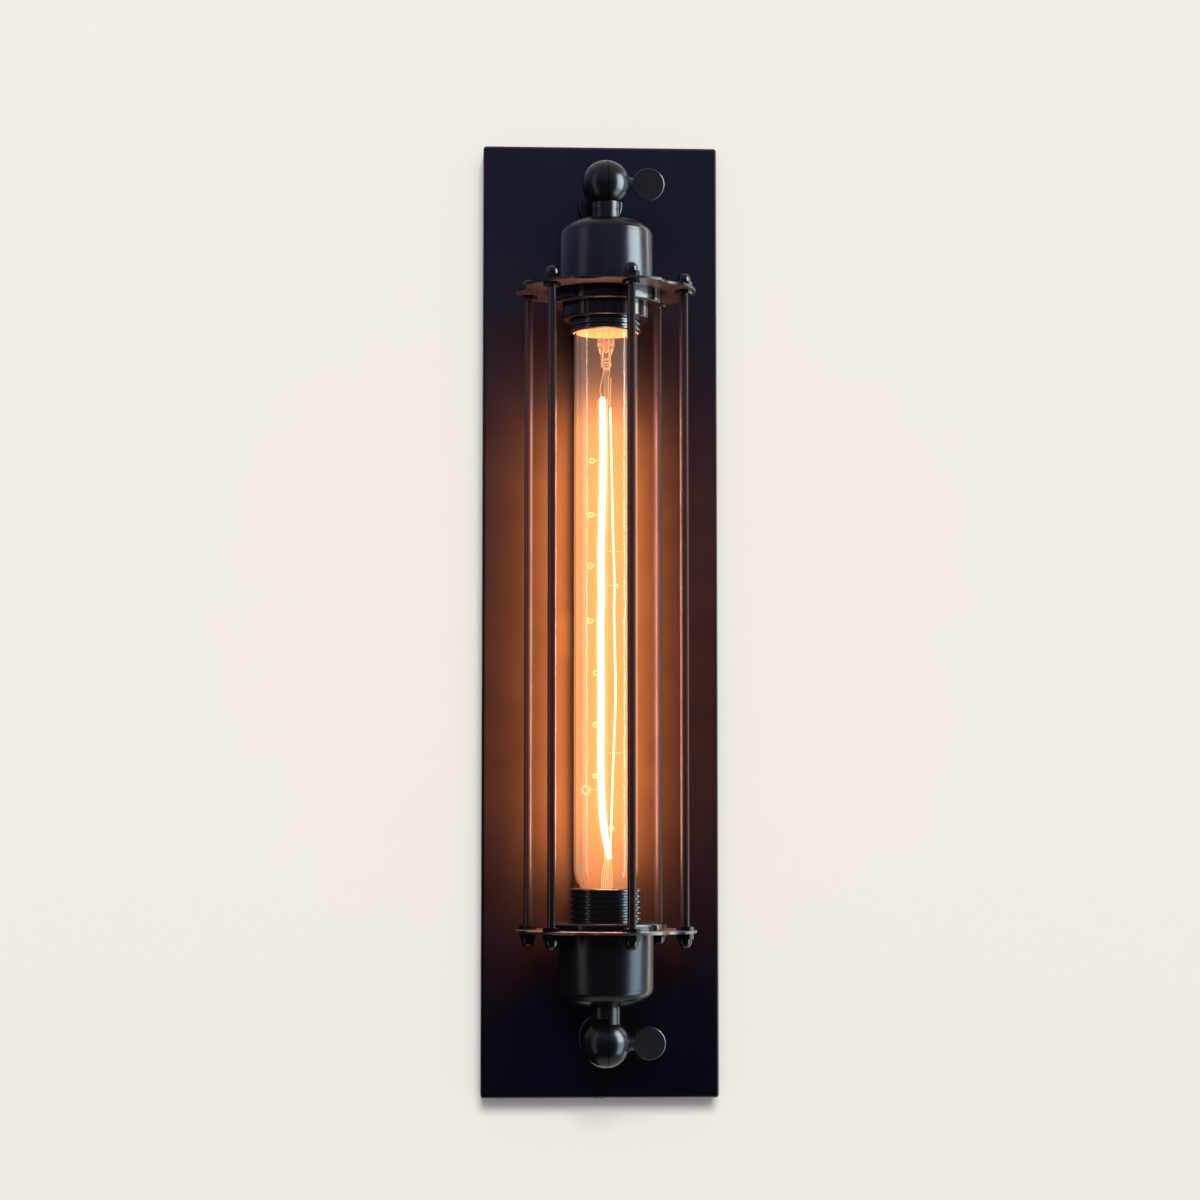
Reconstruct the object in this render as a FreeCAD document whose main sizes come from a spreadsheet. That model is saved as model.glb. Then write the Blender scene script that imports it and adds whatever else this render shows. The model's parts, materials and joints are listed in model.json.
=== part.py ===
import FreeCAD, Part
import math
import os

import Sketcher

# Cage wall light. A folded back pan carries two swivel knuckles, and between them stands a tubular lamp
# in a cage of six rods. Millimetres. The origin is on the wall at the middle of the pan's back, +Z is up,
# the wall is the plane Y = 0 and the lamp is towards -Y. Heights along the lamp are distances from its
# middle, so each lower piece is its upper twin turned half a turn about Y.

SIZES = [
    ("pan_width", 115, "back pan, across"),
    ("pan_end_reach", 29.5, "knuckle centre to the end of the pan"),
    ("pan_depth", 22, "back pan, out from the wall"),
    ("pan_wall", 1.2, "sheet of the pan"),
    ("pan_bend_radius", 1.5, "outer radius of the folds"),
    ("bracket_width", 30, "wall bracket strip"),
    ("bracket_wall", 2, "sheet of the bracket"),
    ("bracket_play", 0.3, "between a bracket tab and the pan"),
    ("tab_reach", 14, "bracket tab, out from the wall"),
    ("cable_hole_diameter", 22, "hole in the bracket for the supply"),
    ("fixing_spacing", 280, "between the two wall screw holes"),
    ("fixing_hole_diameter", 5.2, "wall screw hole"),
    ("cover_screw_diameter", 4, "screw that holds the pan to a tab"),
    ("cover_screw_length", 8, "under its head"),
    ("cover_screw_setback", 8, "screw axis, out from the wall"),
    ("cover_head_diameter", 7, "low head"),
    ("cover_head_height", 1.1, "low head"),
    ("slot_width", 1, "screwdriver slot of the larger screws"),
    ("slot_depth", 0.6, "screwdriver slot of the larger screws"),
    ("screw_play", 0.2, "a screw in its clearance hole, on the radius"),
    ("thread_play", 0.05, "a thread in its nut, on the radius"),
    ("axis_reach", 50, "lamp axis, out from the front of the pan"),
    ("ball_diameter", 22.6, "knuckle ball"),
    ("ball_cavity_diameter", 12, "hollow middle of the ball"),
    ("seam_offset", 0.7, "plane of the split, right of the ball's centre"),
    ("seam_gap", 0.3, "between the two half balls"),
    ("socket_gap", 0.3, "a neck round the other half's ball"),
    ("neck_diameter", 13.4, "neck and wall stem"),
    ("neck_reach", 16.7, "ball centre to the top of the cup"),
    ("neck_groove_reach", 13.1, "ball centre to the turned groove in the neck"),
    ("neck_groove_width", 0.6, "turned groove"),
    ("neck_groove_depth", 0.35, "turned groove"),
    ("stem_collar_reach", 18, "ball centre to the end of the wall half's collar"),
    ("wire_way_diameter", 4.8, "passage for the leads in a half ball"),
    ("wire_way_break", 0.4, "how far that passage breaks through the split face"),
    ("nipple_diameter", 10, "threaded tube through the stems and necks"),
    ("nipple_bore", 7, "for the leads"),
    ("nipple_start", 12, "ball centre to the near end of a nipple"),
    ("nipple_tail", 8.2, "wall nipple, behind the front of the pan"),
    ("flange_diameter", 22, "foot of the wall stem"),
    ("flange_height", 3, "foot of the wall stem"),
    ("flange_edge_radius", 1.3, "rounded edge of the foot"),
    ("stem_washer_diameter", 18, "behind the pan's sheet"),
    ("stem_washer_height", 1, "behind the pan's sheet"),
    ("stem_nut_width", 14, "across flats"),
    ("stem_nut_height", 4, "lock nut in the pan"),
    ("nut_corner_fall", 0.4, "how far a nut's corners are turned down, for each mm of their reach"),
    ("pivot_diameter", 5, "thumb screw shank"),
    ("pivot_play", 0.08, "thumb screw shank in both half balls, on the radius"),
    ("pivot_slot_play", 0.5, "thumb screw shank in the open slot of the lower lamp half, each side"),
    ("pivot_depth", 10.2, "ball centre to the tip of the shank"),
    ("pivot_tip_room", 0.4, "beyond the tip of the shank"),
    ("spot_face_reach", 10.4, "ball centre to the flat under the washer"),
    ("spot_face_play", 0.3, "round the thumb washer"),
    ("thumb_washer_diameter", 7.4, "under the thumb screw's neck"),
    ("thumb_washer_height", 0.6, "under the thumb screw's neck"),
    ("thumb_neck_diameter", 6.2, "shoulder of the thumb screw"),
    ("thumb_neck_reach", 13, "ball centre to the end of the shoulder"),
    ("coin_diameter", 15.4, "flat round grip of the thumb screw"),
    ("coin_thickness", 2.2, "flat round grip of the thumb screw"),
    ("coin_reach", 20.2, "ball centre to the middle of the grip"),
    ("coin_edge", 0.4, "bevel of the grip"),
    ("upper_coin_turn", 12, "degrees, how the upper grip is left turned"),
    ("cup_diameter", 44.8, "spun cup"),
    ("cup_wall", 1.2, "spun cup"),
    ("cup_shoulder_radius", 2.2, "outer edge of the cup"),
    ("dome_radius", 32.3, "sphere of the cup's end"),
    ("bulb_room", 2, "between the middles of the cage rings, more than the bulb's length"),
    ("ring_thickness", 1.2, "cage ring"),
    ("ring_diameter", 85, "cage ring"),
    ("rod_inset", 5, "rod centre, in from the ring's edge"),
    ("rod_diameter", 4, "cage rod"),
    ("rod_overhang", 4.2, "rod end beyond its ring"),
    ("rod_tip_bevel", 0.5, "rod end"),
    ("rod_count", 6, "rods in the cage"),
    ("first_rod_angle", 15, "degrees from straight ahead"),
    ("rod_hole_play", 0.2, "rod in its ring, on the radius"),
    ("notch_radius", 12.6, "hollow in the ring's edge, between two rods"),
    ("notch_depth", 3.5, "hollow in the ring's edge"),
    ("acorn_width", 7, "across flats"),
    ("acorn_hex_height", 3, "hexagon of the acorn nut"),
    ("acorn_dome_diameter", 6.3, "dome of the acorn nut"),
    ("acorn_collar_height", 0.9, "straight part under the dome"),
    ("acorn_bore_depth", 4.8, "threaded hole of the acorn nut"),
    ("jam_width", 7, "across flats"),
    ("jam_height", 1.9, "nut on the inner side of a ring"),
    ("sleeve_bore", 30.8, "sleeves at both ends of the bulb"),
    ("sleeve_diameter", 31.9, "root of the sleeve's thread"),
    ("sleeve_reach", 19.4, "sleeve rim, in from its ring"),
    ("ridge_height", 0.85, "thread ridge on the sleeve"),
    ("ridge_base", 1.9, "thread ridge, at its root"),
    ("ridge_crest", 0.9, "thread ridge, at its crest"),
    ("ridge_pitch", 2.6, "between thread ridges"),
    ("ridge_count", 7, "thread ridges on a sleeve"),
    ("sleeve_nut_play", 0.15, "round the thread ridges"),
    ("holder_diameter", 36, "sleeve inside the cup"),
    ("holder_bore", 33.6, "sleeve inside the cup"),
    ("holder_wall", 1.2, "shoulder and end plate of a sleeve"),
    ("holder_shell_height", 14.4, "ring to the top edge of the lower holder shell"),
    ("cap_collar_reach", 6, "holder cap's collar inside the holder shell"),
    ("cap_collar_wall", 1, "holder cap's collar"),
    ("collar_play", 0.1, "holder cap's collar in the shell, on the radius"),
    ("upper_nut_diameter", 52.6, "flange nut under the upper ring"),
    ("upper_nut_height", 6.2, "flange nut under the upper ring"),
    ("collar_nut_diameter", 41, "collar nut under that"),
    ("collar_nut_height", 7, "collar nut under that"),
    ("spanner_slit_width", 0.7, "slits for a spanner in the collar nut"),
    ("spanner_slit_height", 2.8, "slits for a spanner in the collar nut"),
    ("spanner_slit_depth", 0.6, "slits for a spanner in the collar nut"),
    ("spanner_slit_count", 4, "slits for a spanner in the collar nut"),
    ("spanner_slit_turn", -5.6, "degrees from straight ahead to the first slit"),
    ("lower_nut_diameter", 53.6, "flange nut on the lower ring"),
    ("lower_nut_height", 3.5, "flange nut on the lower ring"),
    ("nut_edge_radius", 1.2, "rounded edges of the turned nuts"),
    ("spacer_inset", 0.3, "collar between cup and sleeve, smaller than the neck on the radius"),
    ("spacer_height", 6, "collar between cup and sleeve"),
    ("end_nut_width", 14, "across flats"),
    ("end_nut_height", 3.5, "nut inside the sleeve"),
    ("nipple_spare", 0.4, "nipple beyond its last nut"),
    ("core_roof", 4.5, "porcelain over its cavity"),
    ("core_flange_height", 6.8, "clamped foot of the porcelain"),
    ("core_play", 0.2, "porcelain in its shell, on the radius"),
    ("core_cavity_height", 12.2, "foot of the porcelain to the roof over the screw shell"),
    ("holder_wiring_room", 4.5, "porcelain to the end of the threaded tube"),
    ("shell_outer_play", 0.2, "screw shell in the porcelain, on the radius"),
    ("shell_height", 14, "screw shell"),
    ("shell_wall", 0.35, "screw shell"),
    ("shell_rib", 0.5, "depth of the screw shell's thread"),
    ("shell_turns", 3, "ridges in the screw shell"),
    ("shell_clearance", 0.2, "bulb thread in the screw shell, on the radius"),
    ("shell_flange_inner", 16, "hole in the screw shell's roof"),
    ("edison_pitch", 3.629, "bulb thread"),
    ("edison_crest", 26.4, "bulb thread, over the ridges"),
    ("edison_root", 24.2, "bulb thread, between the ridges"),
    ("edison_turns", 4, "ridges on the bulb cap"),
    ("terminal_offset", 11, "terminal screw from the lamp axis"),
    ("terminal_plate_width", 6, "brass plate"),
    ("terminal_plate_height", 1, "brass plate"),
    ("terminal_head_diameter", 5.6, "terminal screw"),
    ("terminal_head_height", 1.8, "terminal screw"),
    ("terminal_screw_diameter", 3, "terminal screw"),
    ("terminal_screw_length", 3.5, "below the plate's top"),
    ("small_slot_width", 0.6, "screwdriver slot of the terminal screws"),
    ("contact_head_diameter", 7, "centre contact of the holder"),
    ("contact_gap", 0.1, "centre contact to the bulb's tip"),
    ("bulb_diameter", 30, "glass tube"),
    ("bulb_length", 300, "tip of the contact to the end of the glass"),
    ("tip_room", 1.4, "roof over the screw shell to the tip of the bulb's contact"),
    ("glass_wall", 0.8, "glass tube"),
    ("glass_neck_diameter", 24.4, "glass inside the cap's skirt"),
    ("glass_taper", 5.4, "length of the taper to the neck"),
    ("glass_neck_length", 4.2, "glass inside the cap's skirt"),
    ("cap_length", 27, "skirt's edge to the tip of the contact"),
    ("cap_skirt_diameter", 26, "plain skirt of the cap"),
    ("cap_skirt_height", 4.6, "plain skirt of the cap"),
    ("cap_sheet", 0.25, "metal of the cap"),
    ("insulator_height", 2, "black glass at the cap's end"),
    ("insulator_base_diameter", 20.6, "black glass at the cap's end"),
    ("insulator_step", 1.2, "black glass below its cone, inside the cap"),
    ("tip_diameter", 9.6, "contact at the cap's end"),
    ("tip_height", 1.1, "contact at the cap's end"),
    ("tip_face_diameter", 7.7, "contact at the cap's end, its flat face"),
    ("stem_tube_diameter", 8.6, "glass stem in the neck of the bulb"),
    ("stem_tube_reach", 15.1, "cap's edge to the end of the hollow stem"),
    ("stem_flare_height", 4, "flare of the glass stem"),
    ("pinch_length", 8.1, "end of the hollow stem to the end of the pressed glass"),
    ("pinch_diameter", 4.6, "pressed glass"),
    ("cane_diameter", 1.6, "glass cane that carries the supports"),
    ("cane_room", 9.4, "end of the cane to the end of the glass"),
    ("filament_drop", 13, "pressed glass to the filament's upper loops"),
    ("filament_rise", 8, "end of the cane to the filament's lower loops"),
    ("filament_diameter", 0.5, "coiled filament"),
    ("support_diameter", 0.4, "hook that holds the filament off the cane"),
    ("support_loop_radius", 0.9, "eye of such a hook"),
    ("bulb_lead_diameter", 0.6, "lead through the pressed glass"),
    ("lead_diameter", 1.8, "insulated lead"),
    ("lead_bend", 5, "smallest bend of a lead in the pan"),
    ("block_width", 20, "terminal block"),
    ("block_length", 18, "terminal block"),
    ("block_height", 12, "terminal block"),
    ("block_centre", 80, "middle of the pan to the terminal block"),
    ("block_pole_offset", 5.5, "pole of the block from its middle"),
    ("block_insert_diameter", 5, "brass insert"),
    ("block_insert_length", 16, "brass insert"),
    ("block_screw_offset", 5, "clamp screw from the middle of the block"),
    ("block_clamp_diameter", 2.6, "clamp screw"),
    ("block_fixing_diameter", 3, "screw through the block"),
    ("block_fixing_head", 5.4, "screw through the block"),
    ("block_fixing_sink", 3, "how deep its head is let in"),
    ("insert_play", 0.1, "brass parts in the block, on the radius"),
    ("earth_height", -60, "middle of the pan to the earth studs"),
    ("bracket_stud_offset", 9, "earth stud on the bracket, from the middle"),
    ("pan_stud_offset", 32, "earth stud on the pan, from the middle"),
    ("earth_stud_diameter", 4, "earth stud"),
    ("earth_stud_length", 8, "earth stud above its sheet"),
    ("earth_tag_diameter", 8, "ring of the crimped tag"),
    ("earth_tag_sheet", 0.8, "crimped tag"),
    ("earth_tag_reach", 9, "stud to the end of the crimp"),
    ("earth_nut_width", 7, "across flats"),
    ("earth_nut_height", 3.2, "earth nut"),
    ("earth_sag", 18, "how far the earth lead loops below the studs"),
]

doc = FreeCAD.newDocument("cage_wall_light")
sheet = doc.addObject("Spreadsheet::Sheet", "Sizes")
sub_parts = []


def fill_sheet():
    """Writes each driving size in a row of its own, with its name as the cell's alias."""
    for row, (name, value, meaning) in enumerate(SIZES, start=1):
        sheet.set(f"A{row}", name)
        sheet.set(f"B{row}", str(value))
        sheet.set(f"C{row}", meaning)
        sheet.setAlias(f"B{row}", name)
    doc.recompute()


class Size:
    """A length or angle from the sheet, or worked out from such, with the expression that gives it."""

    def __init__(self, value, text):
        self.value = float(value)
        self.text = text

    def __add__(self, other):
        other = as_size(other)
        return Size(self.value + other.value, f"({self.text} + {other.text})")

    def __radd__(self, other):
        return as_size(other) + self

    def __sub__(self, other):
        other = as_size(other)
        return Size(self.value - other.value, f"({self.text} - {other.text})")

    def __rsub__(self, other):
        return as_size(other) - self

    def __mul__(self, other):
        other = as_size(other)
        return Size(self.value * other.value, f"({self.text} * {other.text})")

    def __rmul__(self, other):
        return as_size(other) * self

    def __truediv__(self, other):
        other = as_size(other)
        return Size(self.value / other.value, f"({self.text} / {other.text})")

    def __rtruediv__(self, other):
        return as_size(other) / self

    def __neg__(self):
        return Size(-self.value, f"(-1 * {self.text})")


def as_size(number):
    """A plain number as a Size."""
    if isinstance(number, Size):
        return number
    return Size(number, repr(float(number)))


def root(size):
    return Size(math.sqrt(size.value), f"sqrt({size.text})")


def sine(angle):
    return Size(math.sin(math.radians(angle.value)), f"sin({angle.text})")


def cosine(angle):
    return Size(math.cos(math.radians(angle.value)), f"cos({angle.text})")


class Named:
    """Looks up the sheet: size.cup_diameter is the cell with that alias."""

    def __getattr__(self, name):
        return Size(sheet.get(name), f"Sizes.{name}")


size = Named()


def bind(thing, prop, value):
    """Sets a property by an expression on the sheet."""
    thing.setExpression(prop, as_size(value).text)


def place(thing, x=0, y=0, z=0, axis=(0, 0, 1), angle=0):
    """Gives a piece its Placement, with its position bound to the sheet."""
    turn = FreeCAD.Rotation(FreeCAD.Vector(*axis), as_size(angle).value)
    thing.Placement = FreeCAD.Placement(FreeCAD.Vector(), turn)
    for letter, value in (("x", x), ("y", y), ("z", z)):
        if isinstance(value, Size):
            bind(thing, f"Placement.Base.{letter}", value)
        else:
            setattr(thing.Placement.Base, letter, value)
    return thing


def new_body(label):
    body = doc.addObject("PartDesign::Body", label)
    body.Label = label
    return body


def keep(thing, label):
    """Names a finished sub-part and puts it on the list of pieces to write."""
    thing.Label = label
    sub_parts.append(thing)
    return thing


def new_sketch(body, role):
    """An empty sketch on one of the body's own origin planes."""
    sketch = body.newObject("Sketcher::SketchObject", "Sketch")
    plane = [item for item in body.Origin.OriginFeatures if item.Role == role][0]
    sketch.AttachmentSupport = [(plane, "")]
    sketch.MapMode = "FlatFace"
    return sketch


def fix_point(sketch, piece, end, x, y):
    """Holds one point of the sketch at x, y from its origin."""
    for kind, value, axis in (("DistanceX", x, -2), ("DistanceY", y, -1)):
        if isinstance(value, Size):
            index = sketch.addConstraint(Sketcher.Constraint(kind, -1, 1, piece, end, value.value))
            bind(sketch, f"Constraints[{index}]", value)
        elif value == 0:
            sketch.addConstraint(Sketcher.Constraint("PointOnObject", piece, end, axis))
        else:
            sketch.addConstraint(Sketcher.Constraint(kind, -1, 1, piece, end, float(value)))


def vector(x, y):
    return FreeCAD.Vector(as_size(x).value, as_size(y).value, 0)


def arc_between(start, end, radius, turn):
    """The short arc from start to end; turn is 1 for counter-clockwise and -1 for clockwise."""
    chord = end - start
    half = chord.Length / 2
    reach = math.sqrt(max(radius * radius - half * half, 0))
    side = FreeCAD.Vector(-chord.y, chord.x, 0).normalize() * reach * turn
    centre = start + chord / 2 + side
    first = math.atan2(start.y - centre.y, start.x - centre.x)
    last = math.atan2(end.y - centre.y, end.x - centre.x)
    if turn < 0:
        first, last = last, first
    circle = Part.Circle(centre, FreeCAD.Vector(0, 0, 1), radius)
    return Part.ArcOfCircle(circle, first, last)


def outline(sketch, corners):
    """Draws a closed outline. A corner is (x, y), or (x, y, radius, turn) when an arc leads to it."""
    count = len(corners)
    ends = []
    for index in range(count):
        here = corners[index]
        there = corners[(index + 1) % count]
        start = vector(here[0], here[1])
        end = vector(there[0], there[1])
        if len(there) == 4:
            arc = arc_between(start, end, there[2].value, there[3])
            piece = sketch.addGeometry(arc, False)
            bind_radius(sketch, piece, there[2])
            ends.append((piece, 1, 2) if there[3] > 0 else (piece, 2, 1))
        else:
            piece = sketch.addGeometry(Part.LineSegment(start, end), False)
            ends.append((piece, 1, 2))
    for index in range(count):
        piece, _, last = ends[index]
        following, first, _ = ends[(index + 1) % count]
        sketch.addConstraint(Sketcher.Constraint("Coincident", piece, last, following, first))
    for index in range(count):
        piece, first, _ = ends[index]
        fix_point(sketch, piece, first, corners[index][0], corners[index][1])


def bind_radius(sketch, piece, radius):
    index = sketch.addConstraint(Sketcher.Constraint("Radius", piece, radius.value))
    bind(sketch, f"Constraints[{index}]", radius)


def circle(sketch, x, y, radius):
    """Draws a circle with its centre at x, y."""
    shape = Part.Circle(vector(x, y), FreeCAD.Vector(0, 0, 1), radius.value)
    piece = sketch.addGeometry(shape, False)
    fix_point(sketch, piece, 3, x, y)
    bind_radius(sketch, piece, radius)


def rectangle(sketch, x, y, width, height):
    """Draws a rectangle about the point x, y."""
    left, right = x - width / 2, x + width / 2
    low, high = y - height / 2, y + height / 2
    outline(sketch, [(left, low), (right, low), (right, high), (left, high)])


def revolve(body, corners):
    """Turns an outline, given as radius and height, about the body's Z axis."""
    sketch = new_sketch(body, "XZ_Plane")
    outline(sketch, corners)
    turned = body.newObject("PartDesign::Revolution", "Turned")
    turned.Profile = sketch
    turned.ReferenceAxis = (sketch, ["V_Axis"])
    turned.Angle = 360
    doc.recompute()
    return turned


def turned_body(label, corners):
    body = new_body(label)
    revolve(body, corners)
    return body


def groove(body, corners):
    """Turns an outline about the body's Z axis and takes it away."""
    sketch = new_sketch(body, "XZ_Plane")
    outline(sketch, corners)
    before = body.Shape.Volume
    cut = body.newObject("PartDesign::Groove", "Groove")
    cut.Profile = sketch
    cut.ReferenceAxis = (sketch, ["V_Axis"])
    cut.Angle = 360
    doc.recompute()
    must_shrink(body, before)
    return cut


def pad(body, role, draw, length, middle=False, reverse=False):
    """Pads what draw puts in a new sketch."""
    sketch = new_sketch(body, role)
    draw(sketch)
    feature = body.newObject("PartDesign::Pad", "Pad")
    feature.Profile = sketch
    bind(feature, "Length", length)
    feature.Midplane = middle
    feature.Reversed = reverse
    doc.recompute()
    return feature


def pocket(body, role, draw, length=None, middle=False, reverse=False):
    """Pockets what draw puts in a new sketch, right through where no length is given."""
    sketch = new_sketch(body, role)
    draw(sketch)
    before = body.Shape.Volume
    feature = body.newObject("PartDesign::Pocket", "Pocket")
    feature.Profile = sketch
    feature.Midplane = middle or length is None
    feature.Reversed = reverse
    if length is None:
        feature.Type = "ThroughAll"
    else:
        bind(feature, "Length", length)
    doc.recompute()
    must_shrink(body, before)
    return feature


def must_shrink(body, before):
    if body.Shape.Volume >= before:
        raise RuntimeError(f"a cut in {body.Label} takes nothing away")


def round_edges(body, radius, wanted):
    """Fillets the edges for which wanted(middle point, edge) is true."""
    base = body.Tip
    names = []
    for number, edge in enumerate(base.Shape.Edges, start=1):
        middle = edge.valueAt((edge.FirstParameter + edge.LastParameter) / 2)
        if wanted(middle, edge):
            names.append(f"Edge{number}")
    rounded = body.newObject("PartDesign::Fillet", "Fillet")
    rounded.Base = (base, names)
    bind(rounded, "Radius", radius)
    doc.recompute()
    return rounded


def circles_at(spots):
    """Picks the circular edges at the given radii and heights."""
    def wanted(middle, edge):
        for radius, height in spots:
            far = abs(math.hypot(middle.x, middle.y) - as_size(radius).value)
            if far < 0.01 and abs(middle.z - as_size(height).value) < 0.01:
                return True
        return False
    return wanted


def prism(body, width, height, base=0):
    """Adds a hexagonal prism, width across flats, from the height called base."""
    hexagon = body.newObject("PartDesign::AdditivePrism", "Hexagon")
    hexagon.Polygon = 6
    bind(hexagon, "Circumradius", width / math.sqrt(3))
    bind(hexagon, "Height", height)
    if isinstance(base, Size):
        bind(hexagon, "Placement.Base.z", base)
    doc.recompute()
    return hexagon


def hex_nut(label, width, height, bore_radius):
    """A plain hexagon nut that stands on its origin, with its outer corners turned down."""
    body = new_body(label)
    prism(body, width, height)
    corner = width / math.sqrt(3)
    flat = width / 2
    fall = (corner - flat) * size.nut_corner_fall
    past = corner + flat
    groove(body, [(flat, height), (corner, height - fall), (past, height - fall), (past, height)])
    groove(body, [(0, 0), (bore_radius, 0), (bore_radius, height), (0, height)])
    return body


def copies(label, master, spots):
    """One sub-part made of separate copies of a piece. A spot is (x, y, z, axis, angle)."""
    links = []
    for x, y, z, axis, angle in spots:
        link = doc.addObject("App::Link", f"{label}_copy")
        link.LinkedObject = master
        links.append(place(link, x, y, z, axis, angle))
    group = doc.addObject("Part::Compound", label)
    group.Links = links
    return keep(group, label)


def cylinder(radius, length, x=0, y=0, z=0, along="z"):
    """A cylinder that starts at x, y, z and runs in the positive direction of an axis."""
    rod = doc.addObject("Part::Cylinder", "Cylinder")
    bind(rod, "Radius", radius)
    bind(rod, "Height", length)
    axis, angle = {"x": ((0, 1, 0), 90), "y": ((1, 0, 0), -90), "z": ((0, 0, 1), 0)}[along]
    return place(rod, x, y, z, axis, angle)


def sphere(radius, turn=0):
    """A sphere about the origin; turn moves its seam round from +X."""
    ball = doc.addObject("Part::Sphere", "Sphere")
    bind(ball, "Radius", radius)
    return place(ball, angle=turn)


def box(low, high):
    """A box between two opposite corners."""
    block = doc.addObject("Part::Box", "Box")
    for prop, start, end in zip(("Length", "Width", "Height"), low, high):
        bind(block, prop, as_size(end) - start)
    return place(block, *[as_size(value) for value in low])


def fuse(*shapes):
    joined = doc.addObject("Part::MultiFuse", "Fuse")
    joined.Shapes = list(shapes)
    return joined


def common(*shapes):
    shared = doc.addObject("Part::MultiCommon", "Common")
    shared.Shapes = list(shapes)
    return shared


def cut(base, *tools):
    """Takes one or more shapes away from a base."""
    result = doc.addObject("Part::Cut", "Cut")
    result.Base = base
    result.Tool = tools[0] if len(tools) == 1 else fuse(*tools)
    return result


def rounded_path(points, bend):
    """Straight runs through the points, joined by tangent arcs as large as bend and the runs allow."""
    edges = []
    start = points[0]
    for index in range(1, len(points) - 1):
        before = (points[index - 1] - points[index])
        after = (points[index + 1] - points[index])
        turn = math.pi - before.getAngle(after)
        if turn < 0.001:
            continue
        shorter = min(before.Length, after.Length)
        radius = min(bend, 0.45 * shorter / math.tan(turn / 2))
        setback = radius * math.tan(turn / 2)
        first = points[index] + before.normalize() * setback
        last = points[index] + after.normalize() * setback
        bisector = (before + after).normalize()
        inner = points[index] + bisector * (radius / math.cos(turn / 2) - radius)
        edges.append(Part.LineSegment(start, first).toShape())
        edges.append(Part.Arc(first, inner, last).toShape())
        start = last
    edges.append(Part.LineSegment(start, points[-1]).toShape())
    return Part.Wire(edges)


def tube_along(points, diameter, bend):
    """A round solid along the points, checked against its section times its length."""
    path = rounded_path(points, bend)
    direction = (points[1] - points[0]).normalize()
    ring = Part.Wire(Part.makeCircle(diameter / 2, points[0], direction))
    solid = path.makePipeShell([ring], True, False)
    expected = math.pi * diameter * diameter / 4 * path.Length
    if abs(solid.Volume / expected - 1) > 0.02:
        raise RuntimeError("a tube's volume doesn't match its length")
    return solid


def shape_part(label, solids, x=0, y=0, z=0):
    """A sub-part whose solids follow free routes."""
    piece = doc.addObject("Part::Feature", label)
    piece.Shape = solids[0] if len(solids) == 1 else Part.makeCompound(solids)
    place(piece, x, y, z)
    return keep(piece, label)


fill_sheet()

# Places that several pieces share.
PAN_FRONT = -size.pan_depth
LAMP_Y = -(size.pan_depth + size.axis_reach)
BALL_RADIUS = size.ball_diameter / 2
NECK_RADIUS = size.neck_diameter / 2
NIPPLE_RADIUS = size.nipple_diameter / 2
NIPPLE_HOLE = NIPPLE_RADIUS + size.screw_play
NIPPLE_THREAD = NIPPLE_RADIUS + size.thread_play
RING_HEIGHT = (size.bulb_length + size.bulb_room) / 2
RING_OUTSIDE = RING_HEIGHT + size.ring_thickness / 2
RING_INSIDE = RING_HEIGHT - size.ring_thickness / 2
ROD_REACH = size.ring_diameter / 2 - size.rod_inset
SLEEVE_RIM = RING_INSIDE - size.sleeve_reach
HOLDER_JOINT = RING_OUTSIDE + size.holder_shell_height
CORE_FOOT = RING_OUTSIDE + size.holder_wall
CAVITY_TOP = CORE_FOOT + size.core_cavity_height
CORE_TOP = CAVITY_TOP + size.core_roof
NIPPLE_TAIL = CORE_TOP + size.holder_wiring_room
END_PLATE = NIPPLE_TAIL + size.nipple_spare + size.end_nut_height
SLEEVE_TOP = END_PLATE + size.holder_wall
CUP_TOP = SLEEVE_TOP + size.spacer_height + size.cup_wall
BALL_HEIGHT = CUP_TOP + size.neck_reach
PAN_END = BALL_HEIGHT + size.pan_end_reach
RIDGE_RADIUS = size.sleeve_diameter / 2 + size.ridge_height
SLEEVE_HOLE = RIDGE_RADIUS + size.sleeve_nut_play
PIVOT_RADIUS = size.pivot_diameter / 2
WALL_SEAM = size.seam_offset - size.seam_gap / 2
LAMP_SEAM = size.seam_offset + size.seam_gap / 2
WIRE_WAY = size.wire_way_diameter / 2
WALL_WAY_X = WALL_SEAM - WIRE_WAY + size.wire_way_break
LAMP_WAY_X = LAMP_SEAM + WIRE_WAY - size.wire_way_break
BULB_TIP = CAVITY_TOP - size.tip_room
BULB_END = BULB_TIP - size.bulb_length
CAP_EDGE = BULB_TIP - size.cap_length
STEM_TUBE_END = CAP_EDGE - size.stem_tube_reach
PINCH_END = STEM_TUBE_END - size.pinch_length
CANE_END = BULB_END + size.cane_room
FILAMENT_TOP = PINCH_END - size.filament_drop
FILAMENT_BOTTOM = CANE_END + size.filament_rise
BRACKET_FRONT = -size.bracket_wall
PAN_INSIDE = PAN_FRONT + size.pan_wall
ENDS = (("upper", 1), ("lower", -1))
UPRIGHT = ((0, 0, 1), 0)
UPSIDE_DOWN = ((0, 1, 0), 180)
FROM_WALL = ((1, 0, 0), 90)
TO_WALL = ((1, 0, 0), -90)
TO_RIGHT = ((0, 1, 0), 90)


# Corners of one thread ridge, as shares of the pitch: in the screw shell and on the bulb's cap.
SHELL_THREAD = (0.3, 0.5, 0.75, 0.95)
CAP_THREAD = (0.25, 0.35, 0.7, 0.85)


def on_lamp(body, label, end):
    """Puts a turned piece on the lamp axis, upside down at the lower end."""
    axis, angle = UPRIGHT if end == "upper" else UPSIDE_DOWN
    place(body, 0, LAMP_Y, 0, axis, angle)
    return keep(body, label)


# ---------------------------------------------------------------- wall side


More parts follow.
